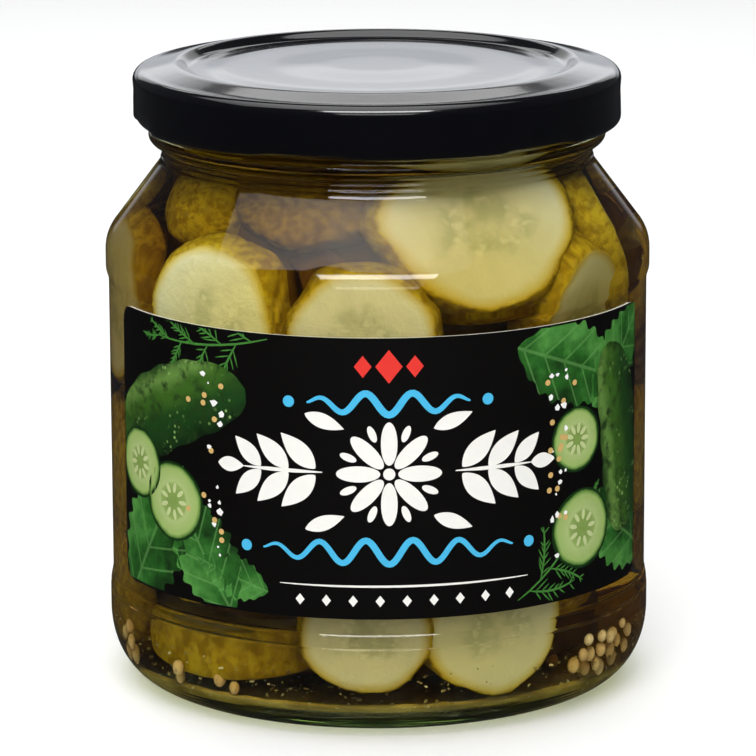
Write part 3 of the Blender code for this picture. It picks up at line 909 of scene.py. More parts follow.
def gherkin_ink(looks):
    """A printed gherkin: dark sides, a lighter back, small bright knobs."""
    made, tree, shader = new_material("ink_gherkin")
    place, leaf = object_place(tree), Vector(looks.leaf)
    wobble = cloud_node(tree, place, 160.0, 3.0)
    across = parts_of(tree, attribute(tree, "motif", "Vector"))["Y"]
    across = math_node(tree, "MULTIPLY_ADD", wobble, 0.7, across)
    stops = [
        (0.05, tuple(leaf * 0.08)),
        (0.35, tuple(leaf * 0.45)),
        (0.62, (0.035, 0.12, 0.005)),
        (0.78, (0.11, 0.24, 0.035)),
        (0.95, tuple(leaf * 0.3)),
    ]
    body = ramp(tree, math_node(tree, "MULTIPLY_ADD", across, 0.4, 0.36), stops, smooth=True)
    mottle = cloud_node(tree, place, 420.0, 4.0, 0.6)
    body = mix(tree, smooth_step(tree, mottle, 0.3, 0.54), (0.012, 0.042, 0.003), body)
    glint = smooth_step(tree, cells(tree, place, 900.0), 0.34, 0.14)
    patch = smooth_step(tree, cloud_node(tree, place, 150.0, 3.0), 0.48, 0.68)
    glint = math_node(tree, "MULTIPLY", glint, patch)
    paint(tree, shader, mix(tree, glint, body, (0.22, 0.4, 0.1)), 0.4)
    paper_fibre(tree, shader, 0.12)
    return made


def leaf_ink(looks):
    """A printed leaf: bright with pale veins on one half, darker on the other."""
    made, tree, shader = new_material("ink_leaf")
    parts, leaf = parts_of(tree, attribute(tree, "motif", "Vector")), Vector(looks.leaf)
    spread = math_node(tree, "ABSOLUTE", parts["Y"])
    slanted = math_node(tree, "SUBTRACT", parts["X"], math_node(tree, "MULTIPLY", spread, 0.45))
    ribs = math_node(tree, "SINE", math_node(tree, "MULTIPLY", slanted, 19.0))
    vein = smooth_step(tree, ribs, 0.9, 0.995)
    vein = math_node(tree, "MAXIMUM", vein, smooth_step(tree, spread, 0.06, 0.02))
    cloud = cloud_node(tree, object_place(tree), 240.0, 5.0)
    tint = math_node(tree, "MULTIPLY_ADD", parts["Y"], 0.22, cloud)
    stops = [(0.25, tuple(leaf * 0.3)), (0.5, tuple(leaf)), (0.8, (0.07, 0.28, 0.04))]
    blade = ramp(tree, tint, stops)
    colour = mix(tree, math_node(tree, "MULTIPLY", vein, 0.4), blade, (0.13, 0.36, 0.08))
    paint(tree, shader, colour, 0.4)
    paper_fibre(tree, shader, 0.12)
    return made


def round_ink(looks):
    """A printed cucumber slice: green skin, pale flesh and a ring of seeds."""
    made, tree, shader = new_material("ink_round_slice")
    edge = vector_node(tree, "LENGTH", attribute(tree, "motif", "Vector"))
    cloud = cloud_node(tree, object_place(tree), 300.0, 4.0)
    reach = math_node(tree, "MULTIPLY_ADD", cloud, 0.12, math_node(tree, "SUBTRACT", edge, 0.06))
    stops = [
        (0.1, (0.2, 0.32, 0.06)),
        (0.42, (0.26, 0.38, 0.09)),
        (0.5, (0.38, 0.5, 0.17)),
        (0.82, (0.3, 0.44, 0.11)),
        (0.9, (0.1, 0.24, 0.03)),
        (0.94, tuple(Vector(looks.leaf) * 0.3)),
    ]
    paint(tree, shader, ramp(tree, reach, stops), 0.4)
    paper_fibre(tree, shader, 0.12)
    return made


def floor_material(colour):
    """A pale matt floor, hardly uneven."""
    made, tree, shader = new_material("pale_floor")
    cloud, base = cloud_node(tree, object_place(tree), 3.0, 4.0), Vector(colour)
    paint(tree, shader, mix(tree, cloud, tuple(base * 0.985), tuple(base)), 0.9, 0.0)
    return made


# Slices


def slice_pose(place):
    """Where a slice lies, from its own frame, in which its outer face looks along -Y."""
    angle, height, distance, _, _, thickness, turn, lean, roll, _ = place
    return (
        Matrix.Translation(on_cylinder(angle, distance - thickness / 2, height))
        @ Matrix.Rotation(math.radians(angle + turn), 4, "Z")
        @ Matrix.Rotation(math.radians(-lean), 4, "X")
        @ Matrix.Rotation(math.radians(roll), 4, "Y")
    )


def slice_swell(a, lumps):
    """How far a slice's outline swells at an angle in radians."""
    return 1 + lumps[0] * math.cos(2 * a) + lumps[1] * math.sin(3 * a)


def slice_bend(place, x):
    """How far a slice bends back at a distance from its middle, as it leans on the glass."""
    facing = math.cos(math.radians(place[6])) * math.cos(math.radians(place[7]))
    return BEND * max(0.0, facing) * x * x / (2 * BEND_RADIUS)


def slice_rings(place, lumps):
    """The plain outlines of a slice's outer and inner face, in its own frame."""
    _, _, _, half_width, half_height, thickness, _, _, _, taper = place
    rings = []
    for depth, size in ((-thickness / 2, 0.96), (thickness / 2, 1.0)):
        for i in range(SLICE_SIDES):
            a = math.tau * i / SLICE_SIDES
            swell = size * slice_swell(a, lumps)
            wide = half_width * swell * (1 + taper * math.sin(a))
            x = wide * math.cos(a)
            z = half_height * swell * math.sin(a)
            rings.append(Vector((x, depth + slice_bend(place, x), z)))
    return rings


def settle(pose, rings, angle, gap=CLEARANCE):
    """Moves a slice inwards and up until it clears the glass all round."""
    inward = -on_cylinder(angle, 1, 0)
    for _ in range(20):
        points = [pose @ p for p in rings]
        lift = max(0.0, SLICE_FLOOR + CLEARANCE - min(p.z for p in points))
        over = max(math.hypot(p.x, p.y) - cavity_radius(p.z) + gap for p in points)
        if over <= 0 and lift <= 0:
            break
        pose = Matrix.Translation(inward * max(0.0, over + 0.05) + Vector((0, 0, lift))) @ pose
    return pose


def inside(point, slice_part, share):
    """Tells whether a point lies in the middle of a slice, by shares of thickness and radius."""
    place, _, _, unposed, _ = slice_part
    p = unposed @ point
    flat = (p.x / place[3]) ** 2 + (p.z / place[4]) ** 2
    return abs(p.y) < place[5] * share[0] / 2 and flat < share[1] ** 2


def lay_slice(place, draw, depth=0.0, gap=CLEARANCE):
    """A slice as its sizes, its outlines, its settled pose, the way back and its lumps."""
    lumps = (draw.uniform(-0.035, 0.035), draw.uniform(-0.035, 0.035))
    rings = slice_rings(place, lumps)
    pose = settle(slice_pose(place), rings, place[0], gap)
    pose = Matrix.Translation(on_cylinder(place[0], -depth, 0)) @ pose
    return place, rings, pose, pose.inverted(), lumps


def crosses(one, other, share=FIRM):
    """Tells whether two slices run into each other. Past the share that is given, they give way."""
    reach = max(one[0][3:5]) + max(other[0][3:5]) + (one[0][5] + other[0][5]) / 2
    if (one[2].translation - other[2].translation).length > reach:
        return False
    for a, b in ((one, other), (other, one)):
        if any(inside(a[2] @ (p * reach), b, share) for p in a[1] for reach in (1.0, 0.55, 0.0)):
            return True
    return False


def random_place(step, draw):
    """Sizes and lie of a slice that the photograph doesn't settle, well spread over the wall."""
    angle = (step * STEP_ROUND) % 360 - 180
    height = HEAP_BOTTOM + (HEAP_TOP - HEAP_BOTTOM) * ((step * STEP_UP) % 1)
    size = draw.uniform(*HALF_SIZES) * (0.85 if height > SHOULDER_START else 1.0)
    turn, lean = draw.uniform(-16, 16), draw.uniform(-16, 16)
    kind = draw.random()
    if kind < EDGE_ON_SHARE:
        turn = draw.choice((-1, 1)) * draw.uniform(50, 80)
    elif kind < LEANING_SHARE:
        lean = draw.choice((-1, 1)) * draw.uniform(25, 65)
    elif height > SHOULDER_START:
        lean += SHOULDER_SLOPE * 0.7
    wide, thick = size * draw.uniform(0.95, 1.2), draw.uniform(*THICKNESSES)
    roll = draw.uniform(0, 90) if height < SHOULDER_START else 0.0
    return angle, height, NEAR_DISTANCE, wide, size, thick, turn, lean, roll, 0.0


def lay_slices(draw):
    """The front's slices as listed, then others wherever they find room, near the glass first."""
    laid = [lay_slice(place, draw, gap=PRESSED) for place, _ in FRONT_SLICES.values()]
    for step in range(FILL_TRIES):
        place = random_place(step, draw)
        if abs(place[0]) < FRONT_ARC and not LABEL_BOTTOM + 8 < place[1] < LABEL_TOP - 8:
            continue
        for depth in FILL_DEPTHS:
            new = lay_slice(place, draw, depth)
            if not any(crosses(new, other) for other in laid):
                laid.append(new)
                break
    return laid


def slice_profile(face_rings, rim_rings):
    """Shares of radius and of half thickness, from the outer face's middle to the inner's."""
    face = [(0.93 * i / face_rings, -1.0) for i in range(face_rings + 1)]
    bevel = [(0.958, -0.985), (0.975, -0.93)]
    rim_part = []
    for i in range(rim_rings + 1):
        depth = -0.84 + 1.68 * i / rim_rings
        rim_part.append((0.985 + 0.02 * (1 - depth**2), depth))
    outer = face + bevel + rim_part
    return outer + [(r, -d) for r, d in reversed(face + bevel)]


def add_slice(heap, laid, draw, sectors, face_rings, rim_rings, look):
    """One finely shaped slice: wrinkled faces, a sunk seed cavity and a knobbly rind.

    look is how green the rind is, 1 or -1 where a skin end faces out or in, and its share of
    painted shade with a brine tint, 1 where it is deep.
    """
    tone, skin, depth = look
    place, _, pose, _, lumps = laid
    _, _, _, half_width, half_height, thickness, _, _, _, taper = place
    warp = draw.uniform(-0.5, 0.5)
    lobes = [draw.uniform(-0.012, 0.012) for _ in range(5)]
    offset = Vector((draw.uniform(0, 90), draw.uniform(0, 90), 0))
    verts, spots, rinds, rings = [], [], [], []
    for share, level in slice_profile(face_rings, rim_rings):
        count = 1 if share == 0 else sectors
        rings.append(range(len(verts), len(verts) + count))
        for i in range(count):
            a = math.tau * i / count
            swell = slice_swell(a, lumps)
            swell += sum(size * math.sin((k + 4) * a + k) for k, size in enumerate(lobes))
            swell *= 0.98 + 0.02 * level
            x, z = share * math.cos(a), share * math.sin(a)
            domed = skin * level < 0
            on_rim = 1.0 if domed else min(1.0, max(0.0, (share - 0.945) / 0.03))
            local = Vector((x * half_width, level * thickness / 2, z * half_height)) * 0.16
            knob = noise.noise(local * 4.5 + offset)
            wrinkle = noise.noise(local * 2.2 - offset)
            grow = swell * (1 + on_rim * (0.018 * knob + 0.012 * wrinkle))
            sunk = math.exp(-((share / 0.5) ** 2)) * 0.1 + 0.05 * wrinkle * (1 - on_rim)
            if domed:
                sunk = 0.9 * share**2.4 - 0.35
            wide = x * half_width * grow * (1 + taper * math.sin(a))
            deep = level * (thickness / 2) * (1 - sunk) + warp * (x * x - z * z)
            verts.append(Vector((wide, deep + slice_bend(place, wide), z * half_height * grow)))
            spots.append((x, z, level))
            rinds.append(on_rim)
    points, count = [keep_inside(pose @ v) for v in verts], len(verts)
    # The depth value is the painted shade with a brine tint that the material multiplies in.
    values = {"spot": spots, "rind": rinds, "tone": [tone] * count, "depth": [depth] * count}
    heap.add(points, bridge(rings, forwards=False), **values)


def keep_inside(point, gap=0.15):
    """Presses a point flat against the glass where it would pass through."""
    point.z = max(point.z, FLOOR_HEIGHT + 1.0)
    limit = cavity_radius(point.z) - gap
    reach = math.hypot(point.x, point.y)
    if reach > limit:
        point.x, point.y = point.x * limit / reach, point.y * limit / reach
    return point


def deep_slices(count, draw, front):
    """Slices that lie anyhow behind the ones at the glass."""
    places = []
    for step in range(count):
        size = draw.uniform(*DEEP_HALF_SIZES)
        angle, height = (step * STEP_ROUND) % 360, 14 + 80 * ((step * STEP_UP) % 1)
        wide, thick = size * draw.uniform(0.95, 1.15), draw.uniform(*THICKNESSES)
        turn, lean, roll = draw.uniform(-70, 70), draw.uniform(-60, 60), draw.uniform(0, 180)
        places.append((angle, height, DEEP_DISTANCE, wide, size, thick, turn, lean, roll, 0.0))
    for step in range(FLOOR_SLICES):
        angle = (step + 0.4) * 360 / FLOOR_SLICES
        places.append((angle, 9.0, 33.0, 12.5, 11.5, 6.0, 0, draw.uniform(74, 86), 0, 0.0))
    laid = []
    for place in places:
        lumps = (draw.uniform(-0.03, 0.03), 0.0)
        rings = slice_rings(place, lumps)
        pose = settle(slice_pose(place), rings, place[0], draw.uniform(8, 12))
        new = (place, rings, pose, pose.inverted(), lumps)
        if not any(crosses(new, other, WHOLE) for other in front):
            laid.append(new)
    return laid


# Printed shapes, in millimetres along the label from its middle and up from its lower edge


def turned_point(x, y, centre, turn):
    """A point turned by degrees about the origin and moved to a centre."""
    c, s = math.cos(math.radians(turn)), math.sin(math.radians(turn))
    return centre[0] + x * c - y * s, centre[1] + x * s + y * c


class Shape:
    """A printed shape: its outline, and its own middle, turn and half sizes."""

    def __init__(self, points, centre, turn=0.0, half=(1.0, 1.0)):
        self.points = [turned_point(x, y, centre, turn) for x, y in points]
        self.centre, self.turn, self.half = centre, turn, half

    def own(self, u, v):
        """A label point in the shape's own frame, from -1 to 1."""
        x, y = turned_point(u - self.centre[0], v - self.centre[1], (0, 0), -self.turn)
        return x / self.half[0], y / self.half[1], 0.0


def oval(centre, half_width, half_height, turn=0.0, steps=40):
    """An ellipse."""
    turns = [math.tau * i / steps for i in range(steps)]
    points = [(half_width * math.cos(a), half_height * math.sin(a)) for a in turns]
    return Shape(points, centre, turn, (half_width, half_height))


def gherkin(centre, half_length, half_width, turn, bend=0.0, steps=44):
    """A whole gherkin with round ends, a slight bend and a knobbly outline."""
    points = []
    for side in (1, -1):
        for i in range(steps + 1):
            s = side * (1 - 2 * i / steps)
            width = half_width * math.sqrt(max(0.0, 1 - abs(s) ** 3.2)) * (1 - 0.1 * s)
            width *= 1 + 0.03 * math.sin(17 * s + side)
            points.append((s * half_length, side * width + bend * s * s))
    return Shape(points, centre, turn, (half_length, half_width))


def leaf(centre, half_length, half_width, turn, teeth=9, steps=54):
    """A pointed leaf with a toothed edge."""
    points = []
    for side in (1, -1):
        for i in range(steps):
            t = i / steps if side == 1 else 1 - i / steps
            width = half_width * math.sin(math.pi * t**0.85) ** 0.9
            width *= 1 + 0.09 * math.sin(math.tau * teeth * t)
            points.append(((2 * t - 1) * half_length, side * width))
    return Shape(points, centre, turn, (half_length, half_width))


def stroke(points, width, taper=0.25):
    """A brush stroke along points, thinner at its ends."""
    left, right = [], []
    for i, (x, y) in enumerate(points):
        before, after = points[max(0, i - 1)], points[min(len(points) - 1, i + 1)]
        dx, dy = after[0] - before[0], after[1] - before[1]
        size = math.hypot(dx, dy) or 1.0
        t = i / (len(points) - 1)
        half = width / 2 * (taper + (1 - taper) * math.sin(math.pi * t) ** 0.6)
        left.append((x - dy / size * half, y + dx / size * half))
        right.append((x + dy / size * half, y - dx / size * half))
    return Shape(left + right[::-1], (0, 0))


def wave(start, end, height, swings, steps=60):
    """Points of a wavy line from start to end."""
    points = []
    for i in range(steps + 1):
        t = i / steps
        lift = height * math.sin(math.tau * swings * t) * math.sin(math.pi * t) ** 0.5
        x, y = (a + (b - a) * t for a, b in zip(start, end))
        points.append((x, y + lift))
    return points


def dill(foot, turn, length, draw):
    """A feathery sprig: a stem with side stems, each with fine needles."""
    shapes = []

    def twig(start, angle, size, needles):
        """One bent stem with needles on both sides."""
        bend = draw.uniform(-0.35, 0.35)
        line = []
        for i in range(9):
            t = i / 8
            a = math.radians(angle) + bend * t
            line.append((start[0] + size * t * math.cos(a), start[1] + size * t * math.sin(a)))
        shapes.append(stroke(line, 0.42, 0.4))
        for i in range(needles):
            t = (i + 1.2) / (needles + 1)
            x, y = line[min(8, int(t * 8))]
            for side in (1, -1):
                a = math.radians(angle + side * draw.uniform(28, 50)) + bend * t
                reach = size * draw.uniform(0.2, 0.34) * (1.1 - 0.6 * t)
                tip = (x + reach * math.cos(a), y + reach * math.sin(a))
                middle = ((x + tip[0]) / 2, (y + tip[1]) / 2)
                shapes.append(stroke([(x, y), middle, tip], 0.3, 0.3))
        return line

    main = twig(foot, turn, length, 0)
    for i in range(7):
        x, y = main[min(8, i + 1)]
        side = 1 if i % 2 else -1
        twig((x, y), turn + side * draw.uniform(34, 48), length * (0.46 - 0.035 * i), 6)
    twig(main[-1], turn, length * 0.2, 5)
    return shapes


def diamond(centre, half_width, half_height):
    """A diamond that stands on a corner."""
    points = [(-half_width, 0), (0, -half_height), (half_width, 0), (0, half_height)]
    return Shape(points, centre)


def label_trim(u):
    """How far the label's round corners cut in at a place along it."""
    along = LABEL_CORNER_RADIUS - (LABEL_HALF_LENGTH - abs(u))
    if along <= 0:
        return 0.0
    along = min(along, LABEL_CORNER_RADIUS)
    return LABEL_CORNER_RADIUS - math.sqrt(LABEL_CORNER_RADIUS**2 - along**2)


def on_label(u, v, lift):
    """A point of the label's printed face, bent round the jar."""
    angle = LABEL_CENTRE_ANGLE + math.degrees(u / PRINT_RADIUS)
    return on_cylinder(angle, PRINT_RADIUS + lift, LABEL_BOTTOM + v)


def cut(flat, spot, away, clear=False):
    """Cuts a flat mesh along a line, and may clear what lies beyond it."""
    geometry = [*flat.verts, *flat.edges, *flat.faces]
    bmesh.ops.bisect_plane(flat, geom=geometry, plane_co=spot, plane_no=away, clear_outer=clear)


def add_print(name, shapes, lift, material, step=1.6):
    """Cuts flat shapes into strips, trims them to the label and bends them round the jar."""
    heap = Heap()
    edge = 0.35
    cuts = [
        ((0, edge, 0), (0, -1, 0)),
        ((0, LABEL_HEIGHT - edge, 0), (0, 1, 0)),
        ((LABEL_HALF_LENGTH - edge, 0, 0), (1, 0, 0)),
        ((edge - LABEL_HALF_LENGTH, 0, 0), (-1, 0, 0)),
    ]
    for index, shape in enumerate(shapes):
        flat = bmesh.new()
        flat.faces.new([flat.verts.new((x, y, 0)) for x, y in shape.points])
        bmesh.ops.triangulate(flat, faces=flat.faces)
        for spot, away in cuts:
            cut(flat, spot, away, True)
        if not flat.faces:
            flat.free()
            continue
        low, high = min(v.co.x for v in flat.verts), max(v.co.x for v in flat.verts)
        for k in range(math.ceil(low / step), math.floor(high / step) + 1):
            cut(flat, (k * step, 0, 0), (1, 0, 0))
        flat.verts.index_update()
        raised = lift + 0.0004 * (index % 40)
        points = [on_label(v.co.x, v.co.y, raised) for v in flat.verts]
        faces = [[v.index for v in face.verts] for face in flat.faces]
        heap.add(points, faces, motif=[shape.own(v.co.x, v.co.y) for v in flat.verts])
        flat.free()
    piece = heap.piece(name, material, "printed_paper")
    face_outwards(piece)
    return piece


def face_outwards(piece):
    """Turns the faces of a thin print away from the jar's axis."""
    mesh = bmesh.new()
    mesh.from_mesh(piece.data)
    for face in mesh.faces:
        centre = face.calc_center_median()
        if face.normal.x * centre.x + face.normal.y * centre.y < 0:
            face.normal_flip()
    mesh.to_mesh(piece.data)
    mesh.free()


# Operators


def looks():
    """The jar's settings in this scene."""
    return bpy.context.scene.pickle_jar


class PICKLE_JAR_OT_stage(Operator):
    """Floor, lights, room and camera"""

    bl_idname = "pickle_jar.stage"
    bl_label = "Stage and camera"

    def execute(self, context):
        stage = looks().stage
        scene = context.scene
        scene.view_settings.view_transform = "Standard"
        scene.cycles.max_bounces = 16
        scene.cycles.transmission_bounces = 14
        scene.cycles.transparent_max_bounces = 16
        scene.cycles.glossy_bounces = 6
        scene.cycles.diffuse_bounces = 4
        scene.cycles.sample_clamp_indirect = 6.0
        self.floor(stage)
        self.room(scene, stage)
        self.lamps(stage)
        self.camera(scene)
        return {"FINISHED"}

    def floor(self, stage):
        """A wide floor, which gloss doesn't mirror."""
        size = FLOOR_SIZE
        mesh = bpy.data.meshes.new("floor")
        corners = [(-size, -size, 0), (size, -size, 0), (size, size, 0), (-size, size, 0)]
        mesh.from_pydata(corners, [], [(0, 1, 2, 3)])
        mesh.materials.append(floor_material(stage.floor))
        floor = bpy.data.objects.new("floor", mesh)
        floor.location.z = -FLOOR_DROP
        floor.visible_glossy = False
        bpy.context.scene.collection.objects.link(floor)

    def room(self, scene, stage):
        """A room that is bright behind and dim in front, at the sides and below."""
        world = bpy.data.worlds.new("studio")
        world.use_nodes = True
        scene.world = world
        tree = world.node_tree
        direction = add_node(tree, "ShaderNodeTexCoord").outputs["Generated"]
        parts = parts_of(tree, direction)
        behind = smooth_step(tree, parts["Y"], *ROOM_BACK)
        above = smooth_step(tree, parts["Z"], *ROOM_HORIZON)
        back = math_node(tree, "MULTIPLY_ADD", above, 0.98, 0.02)
        front = math_node(tree, "MULTIPLY_ADD", above, 0.03, 0.04)
        level = math_node(tree, "MULTIPLY", behind, math_node(tree, "SUBTRACT", back, front))
        level = math_node(tree, "MULTIPLY", math_node(tree, "ADD", level, front), stage.room)
        background = tree.nodes["Background"]
        background.inputs["Color"].default_value = (*ROOM_COLOUR, 1)
        tree.links.new(level, background.inputs["Strength"])

    def lamps(self, stage):
        """The softboxes. One that is not mirrored lights without showing in gloss or glass."""
        boxes = {}
        for name, (spot, aim, size, setting, share, mirrored) in SOFTBOXES.items():
            data = bpy.data.lights.new(name, "AREA")
            data.shape = "RECTANGLE"
            data.size, data.size_y = size
            data.energy = getattr(stage, setting) * share
            data.use_nodes = True
            boxes[name] = lamp = bpy.data.objects.new(name, data)
            lamp.location = spot
            way = Vector(aim) - Vector(spot)
            lamp.rotation_euler = way.to_track_quat("-Z", "Y").to_euler()
            lamp.visible_glossy = mirrored
            lamp.visible_camera = False
            bpy.context.scene.collection.objects.link(lamp)
            if name in FADES:
                self.fade(data.node_tree, FADES[name])
        boxes["top_box"].rotation_euler = (0, 0, math.radians(TOP_BOX_TURN))

    def fade(self, tree, edges):
        """Dims a softbox towards some of its edges."""
        parts = parts_of(tree, add_node(tree, "ShaderNodeNewGeometry").outputs["Parametric"])
        level = 1.0
        for side, low, high, least in edges:
            bright = smooth_step(tree, parts[side], low, high)
            bright = math_node(tree, "MULTIPLY_ADD", bright, 1 - least, least)
            level = math_node(tree, "MULTIPLY", bright, level)
        tree.links.new(level, tree.nodes["Emission"].inputs["Strength"])

    def camera(self, scene):
        """The camera, at the photo's angle."""
        data = bpy.data.cameras.new("camera")
        data.lens = CAMERA_LENS
        data.sensor_width = CAMERA_SENSOR
        camera = bpy.data.objects.new("camera", data)
        tilt = math.radians(CAMERA_ELEVATION)
        target = Vector((0, 0, CAMERA_TARGET_HEIGHT * MM))
        offset = Vector((0, -math.cos(tilt), math.sin(tilt))) * CAMERA_DISTANCE * MM
        camera.location = target + offset
        look = (-offset).to_track_quat("-Z", "Y").to_matrix().to_4x4()
        look = look @ Matrix.Rotation(math.radians(CAMERA_ROLL), 4, "Z")
        camera.rotation_euler = look.to_euler()
        scene.collection.objects.link(camera)
        scene.camera = camera


class PICKLE_JAR_OT_glass(Operator):
    """The glass jar, with its rolls, thick knurled foot, bead and rim"""

    bl_idname = "pickle_jar.glass"
    bl_label = "Glass jar"

    def execute(self, context):
        look = looks().glass
        outer, top, inner = outer_wall(), rim(), inner_wall(4)
        first_inner = len(outer) + len(top)
        wander = look.unevenness / MM

        def shift(angles, index, radii, heights):
            """Teeth under the foot, ripples up the heel and an uneven inner wall."""
            if index < len(outer) and FOOT_INNER_RADIUS < radii[0] < HEEL_START_RADIUS + 1.6:
                if heights[0] < 1.4:
                    tooth = np.where(np.arange(len(angles)) % 2, 1.0, 0.0)
                    heights = heights + tooth * TOOTH_DEPTH
                    radii = radii - tooth * TOOTH_DEPTH
            if HEEL_START < heights[0] < RIPPLE_TOP and index < len(outer):
                fade = 1 - heights[0] / RIPPLE_TOP
                ripple = np.sin(index * 2.4 + 0.3 * np.sin(3 * angles))
                radii = radii - RIPPLE_DEPTH * fade * (1 + ripple)
            if index >= first_inner and radii[0] > 20:
                z = heights[0]
                wave = np.sin(3 * angles + z * 0.05) + 0.6 * np.sin(7 * angles - z * 0.11)
                wave += 0.5 * np.sin(z * 0.4 + 2 * np.sin(angles))
                radii = radii - wander * 0.5 * (1 + wave / 2.1)
            return radii, heights

        verts, faces = turned_mesh(outer + top + inner, GLASS_SEGMENTS, shift)
        iors = (GLASS_IOR, GLASS_IOR / BRINE_IOR)
        glass = clear_material("clear_glass", *iors, look.tint, look.density, 0.05)
        dry = 1 + (first_inner - 1) * GLASS_SEGMENTS
        level = looks().brine.level / MM
        wet = {"wet": ("FLOAT", [float(i >= dry and v[2] < level) for i, v in enumerate(verts)])}
        add_piece("glass_body", verts, faces, glass, ["glass_jar"], wet)
        return {"FINISHED"}


class PICKLE_JAR_OT_brine(Operator):
    """The brine, which reaches just into the glass so that no air gap shows"""

    bl_idname = "pickle_jar.brine"
    bl_label = "Brine"

    def execute(self, context):
        look = looks().brine
        level = look.level / MM
        wall = [(r + BRINE_OVERLAP if r > 1 else 0, z - BRINE_OVERLAP) for r, z in inner_wall(4)]
        wall = [p for p in wall if p[1] < level]
        edge = cavity_radius(level) + BRINE_OVERLAP
        flat = edge - 4 * BRINE_CLIMB
        top = [(0, level)] + straight((0, level), (flat, level), 4)
        for i in range(6):
            t = (i + 1) / 6
            top.append((edge - 4 * BRINE_CLIMB * (1 - t), level + BRINE_CLIMB * t**3))
        verts, faces = turned_mesh(top + wall, BRINE_SEGMENTS)
        liquid = clear_material("brine", BRINE_IOR, 1.0, look.tint, look.density, 0.0)
        free = 1 + (len(top) - 1) * BRINE_SEGMENTS
        wet = [float(i >= free) for i in range(len(verts))]
        add_piece("brine", verts, faces, liquid, attributes={"wet": ("FLOAT", wet)})
        return {"FINISHED"}


class PICKLE_JAR_OT_slices(Operator):
    """The cucumber slices at the glass, and those behind them"""

    bl_idname = "pickle_jar.slices"
    bl_label = "Cucumber slices"

    def execute(self, context):
        look = looks().slices
        cucumber = slice_material(look)
        laid = lay_slices(random.Random(11))
        draw = random.Random(5)
        near, deep = Heap(), Heap()
        fronts = [shown for _, shown in FRONT_SLICES.values()]
        for index, each in enumerate(laid):
            # The last look value is painted shade with a brine tint; the slices at the sides get
            # more.
            skin, murk = (1 if draw.random() < SKIN_END_SHARE else 0), draw.uniform(0, 0.5)
            if SIDE_START < abs(each[0][0]) < SIDE_END and each[0][1] < SHOULDER_START:
                skin, murk = 1, SIDE_MURK
            own = (draw.uniform(0, 0.7), skin, murk)
            add_slice(near, each, draw, 72, 9, 6, fronts[index] if index < len(fronts) else own)
        # Slices behind get the full painted shade with a brine tint.
        for each in deep_slices(look.deep_count, draw, laid[: len(fronts)]):
            add_slice(deep, each, draw, 36, 5, 4, (draw.uniform(0, 0.7), 0, 1.0))
        near.piece("slices_at_glass", cucumber, "pickle_flesh", ["pickle_slices"])
        deep.piece("slices_behind", cucumber, "pickle_flesh")
        return {"FINISHED"}


class PICKLE_JAR_OT_core(Operator):
    """The lumpy middle of the heap, a dark body coloured as painted shade between the slices"""

    bl_idname = "pickle_jar.core"
    bl_label = "Core of the heap"

    def execute(self, context):
        floor, corner = FLOOR_HEIGHT + PUSH_UP_HEIGHT + 0.4, 3.0
        outline = [(0, floor)] + straight((0, floor), (CORE_RADIUS - corner, floor), 5)
        outline += arc((CORE_RADIUS - corner, floor + corner), corner, -70, 0, 4)
        outline += straight(outline[-1], (CORE_RADIUS, CORE_TOP - 6), 30)
        outline += arc((CORE_RADIUS - 5, CORE_TOP - 5), 5, 10, 90, 5)
        outline += straight(outline[-1], (0, CORE_TOP), 5)

        def shift(angles, index, radii, heights):
            """Lumps all over the core."""
            lumps = lumps_round(angles, 2.2, heights[0] * 0.09)
            return radii * (1 + CORE_LUMPS * lumps), heights

        verts, faces = turned_mesh(outline, 72, shift)
        add_piece("heap_core", verts, faces, core_material())
        return {"FINISHED"}


class PICKLE_JAR_OT_seeds(Operator):
    """Mustard seeds in clusters near the floor"""

    bl_idname = "pickle_jar.seeds"
    bl_label = "Mustard seeds"

    def execute(self, context):
        draw = random.Random(23)
        shape, faces = ball(3)
        heap, placed = Heap(), []
        for middle, spread, low, high, count in SEED_CLUSTERS:
            for _ in range(count):
                spot, size = self.find_place(draw, placed, middle, spread, low, high)
                placed.append((spot, size))
                spun, axis = draw.uniform(0, math.tau), Vector((1, draw.random(), 0.3))
                turn = Matrix.Rotation(spun, 3, axis)
                wide, high_share = draw.uniform(0.86, 0.95), draw.uniform(0.88, 1)
                long = Vector((size, size * wide, size * high_share))
                points = [spot + turn @ Vector(a * b for a, b in zip(p, long)) for p in shape]
                points = [keep_inside(p) for p in points]
                heap.add(points, faces, tone=[draw.random()] * len(points))
        heap.piece("mustard_seeds", seed_material(looks().seeds), "mustard_seed")
        return {"FINISHED"}

    def find_place(self, draw, placed, middle, spread, low, high):
        """A free place on the glass near the floor, or the last one tried."""
        for _ in range(60):
            size = SEED_RADIUS * draw.uniform(0.85, 1.08)
            height = max(draw.uniform(low, high), FLOOR_HEIGHT + size + 1.1)
            limits = [
                cavity_radius(height + size * math.sin(a)) - size * math.cos(a)
                for a in (-1.4, -1.1, -0.8, -0.5, -0.2, 0.1)
            ]
            reach = min(limits) - 0.15 - 1.5 * draw.random() ** 3
            spot = on_cylinder(middle + draw.uniform(-spread, spread), reach, height)
            if all((spot - other).length > (size + near) * 0.96 for other, near in placed):
                break
        return spot, size


